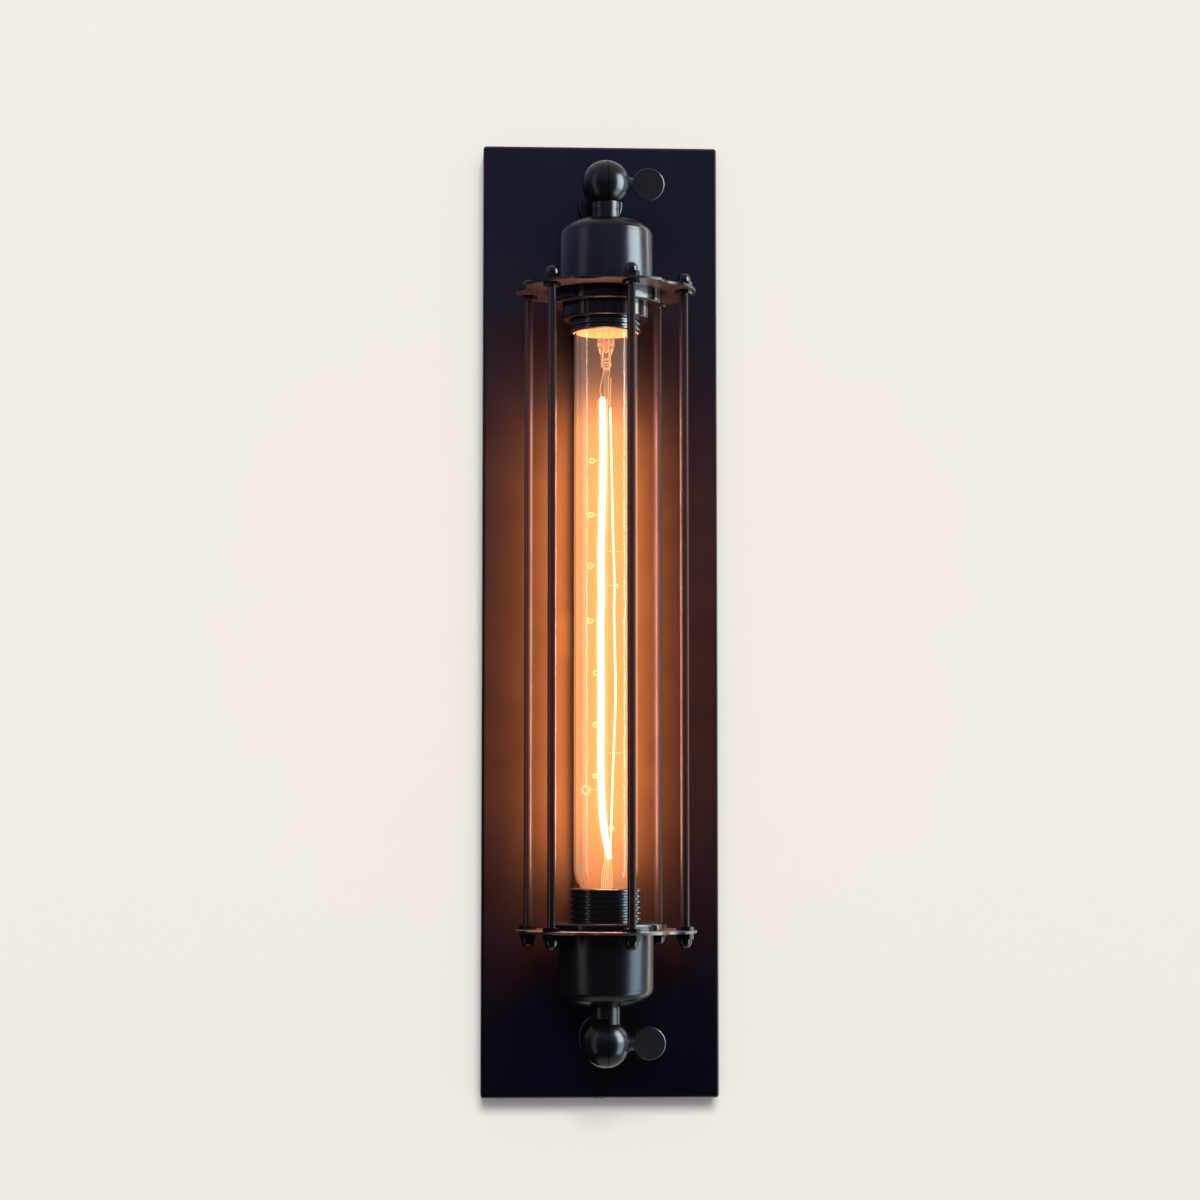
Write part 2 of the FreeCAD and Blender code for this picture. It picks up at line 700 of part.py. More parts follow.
def back_pan():
    """Folded steel pan, open at the back, with holes for the two stems and the cover screws."""
    body = new_body("back_pan")

    def face(sketch):
        rectangle(sketch, as_size(0), as_size(0), size.pan_width, PAN_END * 2)

    def inside(sketch):
        width = size.pan_width - 2 * size.pan_wall
        height = (PAN_END - size.pan_wall) * 2
        rectangle(sketch, as_size(0), as_size(0), width, height)

    def stem_holes(sketch):
        circle(sketch, 0, BALL_HEIGHT, NIPPLE_HOLE)
        circle(sketch, 0, -BALL_HEIGHT, NIPPLE_HOLE)

    def screw_holes(sketch):
        circle(sketch, 0, -size.cover_screw_setback, size.cover_screw_diameter / 2 + size.screw_play)

    pad(body, "XZ_Plane", face, size.pan_depth)
    front = PAN_FRONT.value
    round_edges(body, size.pan_bend_radius, lambda middle, edge: middle.y < front / 3)
    pocket(body, "XZ_Plane", inside, size.pan_depth - size.pan_wall, reverse=True)
    pocket(body, "XZ_Plane", stem_holes)
    pocket(body, "XY_Plane", screw_holes)
    return keep(body, "back_pan")


def wall_bracket():
    """Steel strip on the wall, with a tab bent out at each end to take a cover screw."""
    body = new_body("wall_bracket")
    end = PAN_END - size.pan_wall - size.bracket_play

    def strip(sketch):
        wall = size.bracket_wall
        reach = size.tab_reach
        outline(sketch, [(0, -end), (0, end), (-reach, end), (-reach, end - wall), (-wall, end - wall),
                         (-wall, wall - end), (-reach, wall - end), (-reach, -end)])

    def holes(sketch):
        circle(sketch, 0, 0, size.cable_hole_diameter / 2)
        circle(sketch, 0, size.fixing_spacing / 2, size.fixing_hole_diameter / 2)
        circle(sketch, 0, -size.fixing_spacing / 2, size.fixing_hole_diameter / 2)
        circle(sketch, 0, size.block_centre, size.block_fixing_diameter / 2 + size.thread_play)
        circle(sketch, size.bracket_stud_offset, size.earth_height, size.earth_stud_diameter / 2)

    def tab_holes(sketch):
        circle(sketch, 0, -size.cover_screw_setback, size.cover_screw_diameter / 2 + size.thread_play)

    pad(body, "YZ_Plane", strip, size.bracket_width, middle=True)
    tip = end.value
    round_edges(body, size.bracket_wall,
                lambda middle, edge: abs(middle.y) < 0.01 and abs(abs(middle.z) - tip) < 0.01)
    pocket(body, "XZ_Plane", holes)
    pocket(body, "XY_Plane", tab_holes)
    return keep(body, "wall_bracket")


def slotted_screw(label, head_radius, head_height, shank_radius, shank_length, slot_width, slot_depth):
    """A screw whose head stands on its origin, with the shank below."""
    body = turned_body(label, [(0, -shank_length), (shank_radius, -shank_length), (shank_radius, 0),
                               (head_radius, 0), (head_radius, head_height), (0, head_height)])
    round_edges(body, head_height / 3, circles_at([(head_radius, head_height)]))

    def slot(sketch):
        rectangle(sketch, as_size(0), head_height, slot_width, slot_depth * 2)

    pocket(body, "XZ_Plane", slot, head_radius * 3, middle=True)
    return body


def cover_screws():
    """Low-headed screws through the pan's top and bottom folds into the bracket's tabs."""
    master = slotted_screw("cover_screw", size.cover_head_diameter / 2, size.cover_head_height,
                           size.cover_screw_diameter / 2, size.cover_screw_length,
                           size.slot_width, size.slot_depth)
    copies("cover_screws", master, [(0, -size.cover_screw_setback, PAN_END, *UPRIGHT),
                                    (0, -size.cover_screw_setback, -PAN_END, *UPSIDE_DOWN)])


def stem_set():
    """Both wall stems: foot, tube, threaded nipple, and washer and lock nut behind the pan's sheet."""
    spot = [(0, PAN_FRONT, BALL_HEIGHT, *FROM_WALL), (0, PAN_FRONT, -BALL_HEIGHT, *FROM_WALL)]
    tube_end = size.axis_reach - size.stem_collar_reach
    foot_edge = size.flange_diameter / 2
    sheet_back = -size.pan_wall
    washer_back = sheet_back - size.stem_washer_height
    foot = turned_body("stem_flange", [(NIPPLE_HOLE, 0), (foot_edge, 0), (foot_edge, size.flange_height),
                                       (NIPPLE_HOLE, size.flange_height)])
    round_edges(foot, size.flange_edge_radius, circles_at([(foot_edge, size.flange_height)]))
    copies("stem_flanges", foot, spot)
    tube = turned_body("wall_stem", [(NIPPLE_HOLE, size.flange_height), (NECK_RADIUS, size.flange_height),
                                     (NECK_RADIUS, tube_end), (NIPPLE_HOLE, tube_end)])
    copies("wall_stems", tube, spot)
    nipple_end = size.axis_reach - size.nipple_start
    nipple = turned_body("wall_nipple", [
        (size.nipple_bore / 2, -size.nipple_tail), (NIPPLE_RADIUS, -size.nipple_tail),
        (NIPPLE_RADIUS, nipple_end), (size.nipple_bore / 2, nipple_end)])
    copies("wall_nipples", nipple, spot)
    washer_radius = size.stem_washer_diameter / 2
    washer = turned_body("stem_washer", [(NIPPLE_HOLE, washer_back), (washer_radius, washer_back),
                         (washer_radius, sheet_back), (NIPPLE_HOLE, sheet_back)])
    copies("stem_washers", washer, spot)
    nut = hex_nut("stem_nut", size.stem_nut_width, size.stem_nut_height, NIPPLE_THREAD)
    nut_front = PAN_FRONT - washer_back
    copies("stem_nuts", nut, [(0, nut_front, BALL_HEIGHT, *TO_WALL), (0, nut_front, -BALL_HEIGHT, *TO_WALL)])


def terminal_block():
    """Two-pole block on the bracket, with brass inserts, clamp screws and one fixing screw."""
    back = BRACKET_FRONT
    front = back - size.block_height
    middle = (back + front) / 2
    base = size.block_centre - size.block_length / 2
    half = size.block_width / 2
    insert_base = size.block_centre - size.block_insert_length / 2
    insert_radius = size.block_insert_diameter / 2
    lead_hole = size.lead_diameter / 2 + size.insert_play
    clamp_radius = size.block_clamp_diameter / 2
    clamp_start = middle - lead_hole
    clamp_length = clamp_start - front
    body = box((-half, front, base), (half, back, size.block_centre + size.block_length / 2))
    tools = []
    inserts = []
    clamps = []
    for side in (-1, 1):
        x = side * size.block_pole_offset
        tools.append(cylinder(insert_radius + size.insert_play, size.block_length, x, middle, base))
        drills = [cylinder(lead_hole, size.block_insert_length, x, middle, insert_base)]
        for step in (-1, 1):
            z = size.block_centre + step * size.block_screw_offset
            tools.append(cylinder(clamp_radius + size.insert_play, clamp_length, x, front, z, "y"))
            drills.append(cylinder(clamp_radius + size.thread_play, insert_radius * 2, x,
                                   middle - insert_radius * 2, z, "y"))
            clamps.append(cylinder(clamp_radius, clamp_length - size.insert_play, x,
                                   front + size.insert_play, z, "y"))
        insert = cylinder(insert_radius, size.block_insert_length, x, middle, insert_base)
        inserts.append(cut(insert, *drills))
    sink = front + size.block_fixing_sink
    tools.append(cylinder(size.block_fixing_diameter / 2 + size.insert_play, size.block_height, 0, front,
                          size.block_centre, "y"))
    tools.append(cylinder(size.block_fixing_head / 2 + size.insert_play, size.block_fixing_sink, 0, front,
                          size.block_centre, "y"))
    keep(cut(body, *tools), "terminal_block")
    for label, pieces in (("block_inserts", inserts), ("block_clamp_screws", clamps)):
        group = doc.addObject("Part::Compound", label)
        group.Links = pieces
        keep(group, label)
    screw = slotted_screw("block_fixing_screw", size.block_fixing_head / 2, size.terminal_head_height,
                          size.block_fixing_diameter / 2, -sink, size.small_slot_width, size.slot_depth)
    keep(place(screw, 0, sink, size.block_centre, *FROM_WALL), "block_fixing_screw")


def earth_tag(label):
    """Ring tag with a short crimp that points down; it lies on its origin."""
    body = new_body(label)
    hole = size.earth_stud_diameter / 2 + size.insert_play

    def ring(sketch):
        circle(sketch, 0, 0, size.earth_tag_diameter / 2)
        circle(sketch, 0, 0, hole)

    def tongue(sketch):
        start = size.earth_stud_diameter / 2 + size.earth_tag_sheet
        half = size.lead_diameter / 2 + size.earth_tag_sheet
        outline(sketch, [(-half, -size.earth_tag_reach), (half, -size.earth_tag_reach), (half, -start),
                         (-half, -start)])

    pad(body, "XY_Plane", ring, size.earth_tag_sheet)
    pad(body, "XY_Plane", tongue, size.earth_tag_sheet)
    return body


def earthing():
    """Earth studs on the bracket and the pan, each with its tag and nut, and the lead between them."""
    bracket_at = (size.bracket_stud_offset, BRACKET_FRONT, size.earth_height)
    pan_at = (size.pan_stud_offset, PAN_INSIDE, size.earth_height)
    radius = size.earth_stud_diameter / 2
    through = cylinder(radius, size.earth_stud_length + size.bracket_wall, bracket_at[0],
                       BRACKET_FRONT - size.earth_stud_length, bracket_at[2], "y")
    welded = cylinder(radius, size.earth_stud_length, *pan_at, "y")
    studs = doc.addObject("Part::Compound", "earth_studs")
    studs.Links = [through, welded]
    keep(studs, "earth_studs")
    tag = earth_tag("earth_tag")
    copies("earth_tags", tag, [(*bracket_at, *FROM_WALL), (pan_at[0], PAN_INSIDE + size.earth_tag_sheet,
                                                          pan_at[2], *FROM_WALL)])
    nut = hex_nut("earth_nut", size.earth_nut_width, size.earth_nut_height, radius + size.thread_play)
    nut_seat = BRACKET_FRONT - size.earth_tag_sheet
    copies("earth_nuts", nut, [(bracket_at[0], nut_seat, bracket_at[2], *FROM_WALL),
                               (pan_at[0], PAN_INSIDE + size.earth_tag_sheet, pan_at[2], *TO_WALL)])
    lead_radius = size.lead_diameter.value / 2
    low = (size.earth_height - size.earth_tag_reach).value
    sag = low - size.earth_sag.value
    left = size.bracket_stud_offset.value
    right = size.pan_stud_offset.value
    near = (BRACKET_FRONT - size.earth_tag_sheet).value - lead_radius
    far = (PAN_INSIDE + size.earth_tag_sheet).value + lead_radius
    across = (right - left) / 4
    back = (far - near) / 4
    end = lead_radius * 4
    route = [(left, near, low + end), (left, near, low - end), (left + across, near + back, sag),
             (right - across, far - back, sag), (right, far, low - end), (right, far, low + end)]
    points = [FreeCAD.Vector(*point) for point in route]
    shape_part("earth_lead", [tube_along(points, size.lead_diameter.value, size.lead_bend.value)])


def wall_leads():
    """Live and neutral leads from the terminal block through the upper stem to the knuckle's hollow."""
    thick = size.lead_diameter.value
    apart = thick + size.insert_play.value * 2
    block_y = (BRACKET_FRONT - size.block_height / 2).value
    in_block = size.block_centre.value
    leave = (size.block_centre + size.block_length).value
    inner_y = (PAN_FRONT + size.nipple_tail).value + size.lead_bend.value + thick / 2
    far = (LAMP_Y + size.ball_cavity_diameter / 2).value
    way_x = WALL_WAY_X.value
    turn_height = BALL_HEIGHT.value - size.lead_bend.value * 6
    for label, side in (("live_lead", 1), ("neutral_lead", -1)):
        pole = side * size.block_pole_offset.value
        height = BALL_HEIGHT.value + side * apart / 2
        rise_y = inner_y + apart * (side + 1) / 2
        route = [(pole, block_y, in_block), (pole, block_y, leave), (way_x, rise_y, turn_height),
                 (way_x, rise_y, height), (way_x, far, height)]
        points = [FreeCAD.Vector(*point) for point in route]
        shape_part(label, [tube_along(points, thick, size.lead_bend.value)])


# ---------------------------------------------------------------- knuckles


def half_space(side):
    """A box that covers one side of the split: -1 is the wall's half, 1 is the lamp's."""
    reach = BALL_RADIUS + size.stem_collar_reach
    if side < 0:
        return box((-reach, -reach, -reach), (WALL_SEAM, reach, reach))
    return box((LAMP_SEAM, -reach, -reach), (reach, reach, reach))


def spoke(radius, along, direction, near, far, x=0):
    """A cylinder that leads away from the ball's centre, between two distances from it."""
    start = near if direction > 0 else -far
    where = {"y": (x, start, 0), "z": (x, 0, start)}[along]
    return cylinder(radius, far - near, *where, along)


def knuckle_half(label, side, along, direction, reach, dished, tools):
    """Half a ball with a round neck that passes the split outside the other half's ball."""
    clear = BALL_RADIUS + size.socket_gap
    if dished:
        outside = cut(spoke(NECK_RADIUS, along, direction, 0, reach), sphere(clear))
    else:
        outside = spoke(NECK_RADIUS, along, direction, clear, reach)
    seam_turn = 0 if side < 0 else 180
    ball = common(sphere(BALL_RADIUS, seam_turn), half_space(side))
    neck = common(spoke(NECK_RADIUS, along, direction, 0, reach), half_space(side))
    way_x = WALL_WAY_X if side < 0 else LAMP_WAY_X
    hollow = [sphere(size.ball_cavity_diameter / 2, seam_turn),
              spoke(WIRE_WAY, along, direction, 0, size.nipple_start, way_x),
              spoke(NIPPLE_THREAD, along, direction, size.nipple_start, reach)]
    return keep(cut(fuse(ball, neck, outside), *hollow, *tools), label)


def neck_groove(direction):
    """A ring that turns the groove into a neck."""
    low = direction * size.neck_groove_reach - size.neck_groove_width / 2
    outer = cylinder(BALL_RADIUS, size.neck_groove_width, 0, 0, low)
    inner = cylinder(NECK_RADIUS - size.neck_groove_depth, size.neck_groove_width, 0, 0, low)
    return cut(outer, inner)


def knuckles():
    """Each knuckle is a wall half and a lamp half. The lower lamp half is open to the back."""
    hole = PIVOT_RADIUS + size.pivot_play
    slot = PIVOT_RADIUS + size.pivot_slot_play
    spot_radius = size.thumb_washer_diameter / 2 + size.spot_face_play
    for end, direction in ENDS:
        blind = size.pivot_depth + size.pivot_tip_room
        thread = cylinder(PIVOT_RADIUS + size.pivot_play, blind + WALL_SEAM, -blind, 0, 0, "x")
        wall_half = knuckle_half(f"{end}_wall_knuckle", -1, "y", 1, size.stem_collar_reach, True, [thread])
        place(wall_half, 0, LAMP_Y, direction * BALL_HEIGHT)
        through = cylinder(hole, size.ball_diameter, 0, 0, 0, "x")
        spot = cylinder(spot_radius, BALL_RADIUS, size.spot_face_reach, 0, 0, "x")
        tools = [through, spot, neck_groove(-direction)]
        if end == "lower":
            tools.append(cylinder(slot, size.ball_diameter, 0, 0, 0, "x"))
            tools.append(box((0, 0, -slot), (size.ball_diameter, size.ball_diameter, slot)))
            tools.append(box((size.spot_face_reach, 0, -spot_radius),
                             (size.ball_diameter, size.ball_diameter, spot_radius)))
        lamp_half = knuckle_half(f"{end}_lamp_knuckle", 1, "z", -direction, size.neck_reach,
                                 end == "upper", tools)
        place(lamp_half, 0, LAMP_Y, direction * BALL_HEIGHT)


def thumb_screws():
    """Thumb screws with a flat round grip, each with its washer, on the right of the knuckles."""
    for end, direction in ENDS:
        turn = size.upper_coin_turn.value if end == "upper" else 0
        shoulder = size.spot_face_reach + size.thumb_washer_height
        washer = turned_body(f"{end}_thumb_washer", [
            (PIVOT_RADIUS + size.pivot_play, size.spot_face_reach),
            (size.thumb_washer_diameter / 2, size.spot_face_reach),
            (size.thumb_washer_diameter / 2, shoulder), (PIVOT_RADIUS + size.pivot_play, shoulder)])
        keep(place(washer, 0, LAMP_Y, direction * BALL_HEIGHT, *TO_RIGHT), f"{end}_thumb_washer")
        shank = cylinder(PIVOT_RADIUS, size.pivot_depth + shoulder, -size.pivot_depth, 0, 0, "x")
        neck = cylinder(size.thumb_neck_diameter / 2, size.thumb_neck_reach - shoulder, shoulder, 0, 0, "x")
        half = size.coin_thickness / 2
        coin = cylinder(size.coin_diameter / 2, size.coin_thickness, size.coin_reach, -half, 0, "y")
        bevelled = doc.addObject("Part::Chamfer", "Chamfer")
        bevelled.Base = coin
        doc.recompute()
        rims = [number for number, edge in enumerate(coin.Shape.Edges, start=1) if edge.isClosed()
                and edge.Curve.TypeId == "Part::GeomCircle"]
        bevelled.Edges = [(number, size.coin_edge.value, size.coin_edge.value) for number in rims]
        screw = fuse(shank, neck, bevelled)
        keep(place(screw, 0, LAMP_Y, direction * BALL_HEIGHT, (1, 0, 0), turn), f"{end}_thumb_screw")


# ---------------------------------------------------------------- lamp ends


def cup(end):
    """Spun cup: straight side, rounded shoulder and a shallow domed end with a flat for the neck."""
    radius = size.cup_diameter / 2
    inner = radius - size.cup_wall
    centre = CUP_TOP - root(size.dome_radius * size.dome_radius - NECK_RADIUS * NECK_RADIUS)
    inner_dome = size.dome_radius - size.cup_wall
    shoulder = centre + root(size.dome_radius * size.dome_radius - radius * radius)
    inner_shoulder = centre + root(inner_dome * inner_dome - inner * inner)
    flat = CUP_TOP - size.cup_wall
    inner_flat = root(inner_dome * inner_dome - (flat - centre) * (flat - centre))
    body = turned_body(f"{end}_cup", [
        (inner, RING_OUTSIDE), (radius, RING_OUTSIDE), (radius, shoulder),
        (NECK_RADIUS, CUP_TOP, size.dome_radius, 1), (NIPPLE_HOLE, CUP_TOP), (NIPPLE_HOLE, flat),
        (inner_flat, flat), (inner, inner_shoulder, inner_dome, -1)])
    round_edges(body, size.cup_shoulder_radius, circles_at([(radius, shoulder)]))
    on_lamp(body, f"{end}_cup", end)


def cage_ring(end):
    """Flat ring with a hollow in its edge between each two rods."""
    body = new_body(f"{end}_cage_ring")
    step = 360 / size.rod_count
    notch_reach = size.ring_diameter / 2 - size.notch_depth + size.notch_radius

    def disc(sketch):
        circle(sketch, 0, 0, size.ring_diameter / 2)
        circle(sketch, 0, 0, SLEEVE_HOLE)

    def rod_hole(sketch):
        angle = size.first_rod_angle - 90
        circle(sketch, ROD_REACH * cosine(angle), ROD_REACH * sine(angle),
               size.rod_diameter / 2 + size.rod_hole_play)

    def notch(sketch):
        angle = size.first_rod_angle + step / 2 - 90
        circle(sketch, notch_reach * cosine(angle), notch_reach * sine(angle), size.notch_radius)

    pad(body, "XY_Plane", disc, size.ring_thickness, middle=True)
    cuts = [pocket(body, "XY_Plane", rod_hole), pocket(body, "XY_Plane", notch)]
    pattern = body.newObject("PartDesign::PolarPattern", "Around")
    pattern.Originals = cuts
    pattern.Axis = (cuts[0].Profile[0], ["N_Axis"])
    pattern.Angle = 360
    bind(pattern, "Occurrences", size.rod_count)
    body.Tip = pattern
    doc.recompute()
    side = 1 if end == "upper" else -1
    keep(place(body, 0, LAMP_Y, side * RING_HEIGHT), f"{end}_cage_ring")


def rod_spots(height, turned):
    """The places of the rods, counted from the first one round to the right."""
    spots = []
    for index in range(round(size.rod_count.value)):
        angle = size.first_rod_angle + index * 360 / size.rod_count
        x = ROD_REACH * sine(angle)
        y = LAMP_Y - ROD_REACH * cosine(angle)
        spots.append((x, y, height, *turned))
    return spots


def cage_rods():
    """Plain rods with threaded ends that pass through both rings."""
    radius = size.rod_diameter / 2
    end = RING_OUTSIDE + size.rod_overhang
    bevel = size.rod_tip_bevel
    rod = turned_body("cage_rod", [(0, -end), (radius - bevel, -end), (radius, bevel - end),
                                   (radius, end - bevel), (radius - bevel, end), (0, end)])
    copies("cage_rods", rod, rod_spots(0, UPRIGHT))


def acorn_nut():
    """Domed nut that stands on its origin."""
    body = new_body("acorn_nut")
    prism(body, size.acorn_width, size.acorn_hex_height)
    corner = size.acorn_width / math.sqrt(3)
    radius = size.acorn_dome_diameter / 2
    top = size.acorn_hex_height
    fall = (corner - radius) * size.nut_corner_fall
    collar = top + size.acorn_collar_height
    groove(body, [(radius, top), (corner, top - fall), (corner + radius, top - fall), (corner + radius, top)])
    revolve(body, [(0, 0), (radius, 0), (radius, collar), (0, collar + radius, radius, 1)])
    bore = size.rod_diameter / 2 + size.thread_play
    groove(body, [(0, 0), (bore, 0), (bore, size.acorn_bore_depth), (0, size.acorn_bore_depth)])
    return body


def cage_nuts():
    """Acorn nuts outside the rings and jam nuts inside them."""
    acorn = acorn_nut()
    jam = hex_nut("jam_nut", size.jam_width, size.jam_height, size.rod_diameter / 2 + size.thread_play)
    copies("acorn_nuts", acorn, rod_spots(RING_OUTSIDE, UPRIGHT) + rod_spots(-RING_OUTSIDE, UPSIDE_DOWN))
    copies("jam_nuts", jam, rod_spots(RING_INSIDE, UPSIDE_DOWN) + rod_spots(-RING_INSIDE, UPRIGHT))


def add_ridges(body):
    """Thread ridges on a sleeve, from just inside its rim towards the ring."""
    root_radius = size.sleeve_diameter / 2
    first = SLEEVE_RIM + size.ridge_base / 2
    half_base = size.ridge_base / 2
    half_crest = size.ridge_crest / 2
    inside = root_radius - size.ridge_height / 4
    revolve(body, [(inside, first - half_base), (root_radius, first - half_base),
                   (RIDGE_RADIUS, first - half_crest), (RIDGE_RADIUS, first + half_crest),
                   (root_radius, first + half_base), (inside, first + half_base)])
    ridge = body.Tip
    pattern = body.newObject("PartDesign::LinearPattern", "Thread")
    pattern.Originals = [ridge]
    pattern.Direction = (ridge.Profile[0], ["V_Axis"])
    bind(pattern, "Length", size.ridge_pitch * (size.ridge_count - 1))
    bind(pattern, "Occurrences", size.ridge_count)
    body.Tip = pattern
    doc.recompute()


def lampholder_sleeve():
    """Threaded sleeve of the lampholder, with a wider shell above the ring for the porcelain."""
    step = RING_OUTSIDE
    body = turned_body("lampholder_sleeve", [
        (size.sleeve_bore / 2, SLEEVE_RIM), (size.sleeve_diameter / 2, SLEEVE_RIM),
        (size.sleeve_diameter / 2, step), (size.holder_diameter / 2, step),
        (size.holder_diameter / 2, HOLDER_JOINT), (size.holder_bore / 2, HOLDER_JOINT),
        (size.holder_bore / 2, step + size.holder_wall), (size.sleeve_bore / 2, step + size.holder_wall)])
    add_ridges(body)
    on_lamp(body, "lampholder_sleeve", "upper")


def holder_cap():
    """Top half of the lampholder: an end plate, and a collar that screws into the sleeve's shell."""
    outer = size.holder_diameter / 2
    collar = size.holder_bore / 2 - size.collar_play
    inner = collar - size.cap_collar_wall
    low = HOLDER_JOINT - size.cap_collar_reach
    body = turned_body("holder_cap", [
        (inner, low), (collar, low), (collar, HOLDER_JOINT), (outer, HOLDER_JOINT), (outer, SLEEVE_TOP),
        (NIPPLE_HOLE, SLEEVE_TOP), (NIPPLE_HOLE, END_PLATE), (inner, END_PLATE)])
    round_edges(body, size.holder_wall, circles_at([(outer, SLEEVE_TOP)]))
    on_lamp(body, "holder_cap", "upper")


def end_sleeve():
    """Blind threaded sleeve that steadies the free end of the bulb."""
    step = RING_OUTSIDE
    body = turned_body("end_sleeve", [
        (size.sleeve_bore / 2, SLEEVE_RIM), (size.sleeve_diameter / 2, SLEEVE_RIM),
        (size.sleeve_diameter / 2, step), (size.holder_diameter / 2, step),
        (size.holder_diameter / 2, SLEEVE_TOP), (NIPPLE_HOLE, SLEEVE_TOP), (NIPPLE_HOLE, END_PLATE),
        (size.holder_bore / 2, END_PLATE), (size.holder_bore / 2, step + size.holder_wall),
        (size.sleeve_bore / 2, step + size.holder_wall)])
    round_edges(body, size.holder_wall, circles_at([(size.holder_diameter / 2, SLEEVE_TOP)]))
    add_ridges(body)
    on_lamp(body, "end_sleeve", "lower")


def turned_nut(label, diameter, outside, height):
    """A round nut on the sleeve's thread, from the height called outside towards the middle."""
    radius = diameter / 2
    inside = outside - height
    body = turned_body(label, [(SLEEVE_HOLE, inside), (radius, inside), (radius, outside),
                               (SLEEVE_HOLE, outside)])
    round_edges(body, size.nut_edge_radius, circles_at([(radius, inside)]))
    return body


def sleeve_nuts():
    """Flange nuts that clamp the rings to the cups, and the collar nut that locks the upper one."""
    upper = turned_nut("upper_flange_nut", size.upper_nut_diameter, RING_INSIDE, size.upper_nut_height)
    on_lamp(upper, "upper_flange_nut", "upper")
    lower = turned_nut("lower_flange_nut", size.lower_nut_diameter, RING_INSIDE, size.lower_nut_height)
    on_lamp(lower, "lower_flange_nut", "lower")
    seat = RING_INSIDE - size.upper_nut_height
    collar = turned_nut("collar_nut", size.collar_nut_diameter, seat, size.collar_nut_height)
    middle = seat - size.collar_nut_height / 2
    slit_floor = size.collar_nut_diameter / 2 - size.spanner_slit_depth

    def slit(sketch):
        bind(sketch, "AttachmentOffset.Base.z", slit_floor)
        rectangle(sketch, as_size(0), middle, size.spanner_slit_width, size.spanner_slit_height)

    first = pocket(collar, "XZ_Plane", slit, size.spanner_slit_depth * 2, reverse=True)
    pattern = collar.newObject("PartDesign::PolarPattern", "Around")
    pattern.Originals = [first]
    pattern.Axis = (first.Profile[0], ["V_Axis"])
    pattern.Angle = 360
    bind(pattern, "Occurrences", size.spanner_slit_count)
    collar.Tip = pattern
    doc.recompute()
    place(collar, 0, LAMP_Y, 0, (0, 0, 1), size.spanner_slit_turn)
    keep(collar, "collar_nut")


def lamp_nipples():
    """Threaded tubes from the knuckles into the sleeves, with the nuts that clamp cup and sleeve."""
    start = BALL_HEIGHT - size.nipple_start
    nipple = turned_body("lamp_nipple", [(size.nipple_bore / 2, NIPPLE_TAIL), (NIPPLE_RADIUS, NIPPLE_TAIL),
                                         (NIPPLE_RADIUS, start), (size.nipple_bore / 2, start)])
    copies("lamp_nipples", nipple, [(0, LAMP_Y, 0, *UPRIGHT), (0, LAMP_Y, 0, *UPSIDE_DOWN)])
    collar = NECK_RADIUS - size.spacer_inset
    spacer = turned_body("nipple_spacer", [(NIPPLE_THREAD, 0), (collar, 0), (collar, size.spacer_height),
                                           (NIPPLE_THREAD, size.spacer_height)])
    copies("nipple_spacers", spacer, [(0, LAMP_Y, SLEEVE_TOP, *UPRIGHT),
                                      (0, LAMP_Y, -SLEEVE_TOP, *UPSIDE_DOWN)])
    nut = hex_nut("end_nut", size.end_nut_width, size.end_nut_height, NIPPLE_THREAD)
    copies("nipple_nuts", nut, [(0, LAMP_Y, END_PLATE, *UPSIDE_DOWN), (0, LAMP_Y, -END_PLATE, *UPRIGHT)])


# ---------------------------------------------------------------- lampholder


def porcelain_core():
    """Porcelain insert: a clamped foot, a cavity for the screw shell, and a roof with three holes."""
    foot_top = CORE_FOOT + size.core_flange_height
    wide = size.holder_bore / 2 - size.core_play
    narrow = size.holder_bore / 2 - size.collar_play - size.cap_collar_wall - size.core_play
    cavity = size.edison_crest / 2 + size.shell_clearance + size.shell_rib + size.shell_wall
    cavity = cavity + size.shell_outer_play
    body = turned_body("porcelain_core", [
        (cavity, CORE_FOOT), (wide, CORE_FOOT), (wide, foot_top), (narrow, foot_top), (narrow, CORE_TOP),
        (0, CORE_TOP), (0, CAVITY_TOP), (cavity, CAVITY_TOP)])
    screw_radius = size.terminal_screw_diameter / 2 + size.insert_play

    def holes(sketch):
        circle(sketch, 0, 0, screw_radius)
        circle(sketch, size.terminal_offset, 0, screw_radius)
        circle(sketch, -size.terminal_offset, 0, screw_radius)

    pocket(body, "XY_Plane", holes)
    on_lamp(body, "porcelain_core", "upper")


def screw_shell():
    """Pressed shell that takes the bulb's thread, with its roof turned in under the porcelain."""
    inner = size.edison_crest / 2 + size.shell_clearance
    rib = inner + size.shell_rib
    outer = rib + size.shell_wall
    mouth = CAVITY_TOP - size.shell_height
    corners = [(inner, mouth)]
    for turn in range(round(size.shell_turns.value)):
        rises = [mouth + size.edison_pitch * (turn + share) for share in SHELL_THREAD]
        corners += [(inner, rises[0]), (rib, rises[1]), (rib, rises[2]), (inner, rises[3])]
    under = CAVITY_TOP - size.shell_wall
    hole = size.shell_flange_inner / 2
    corners += [(inner, under), (hole, under), (hole, CAVITY_TOP), (outer, CAVITY_TOP), (outer, mouth)]
    body = turned_body("screw_shell", corners)
    on_lamp(body, "screw_shell", "upper")


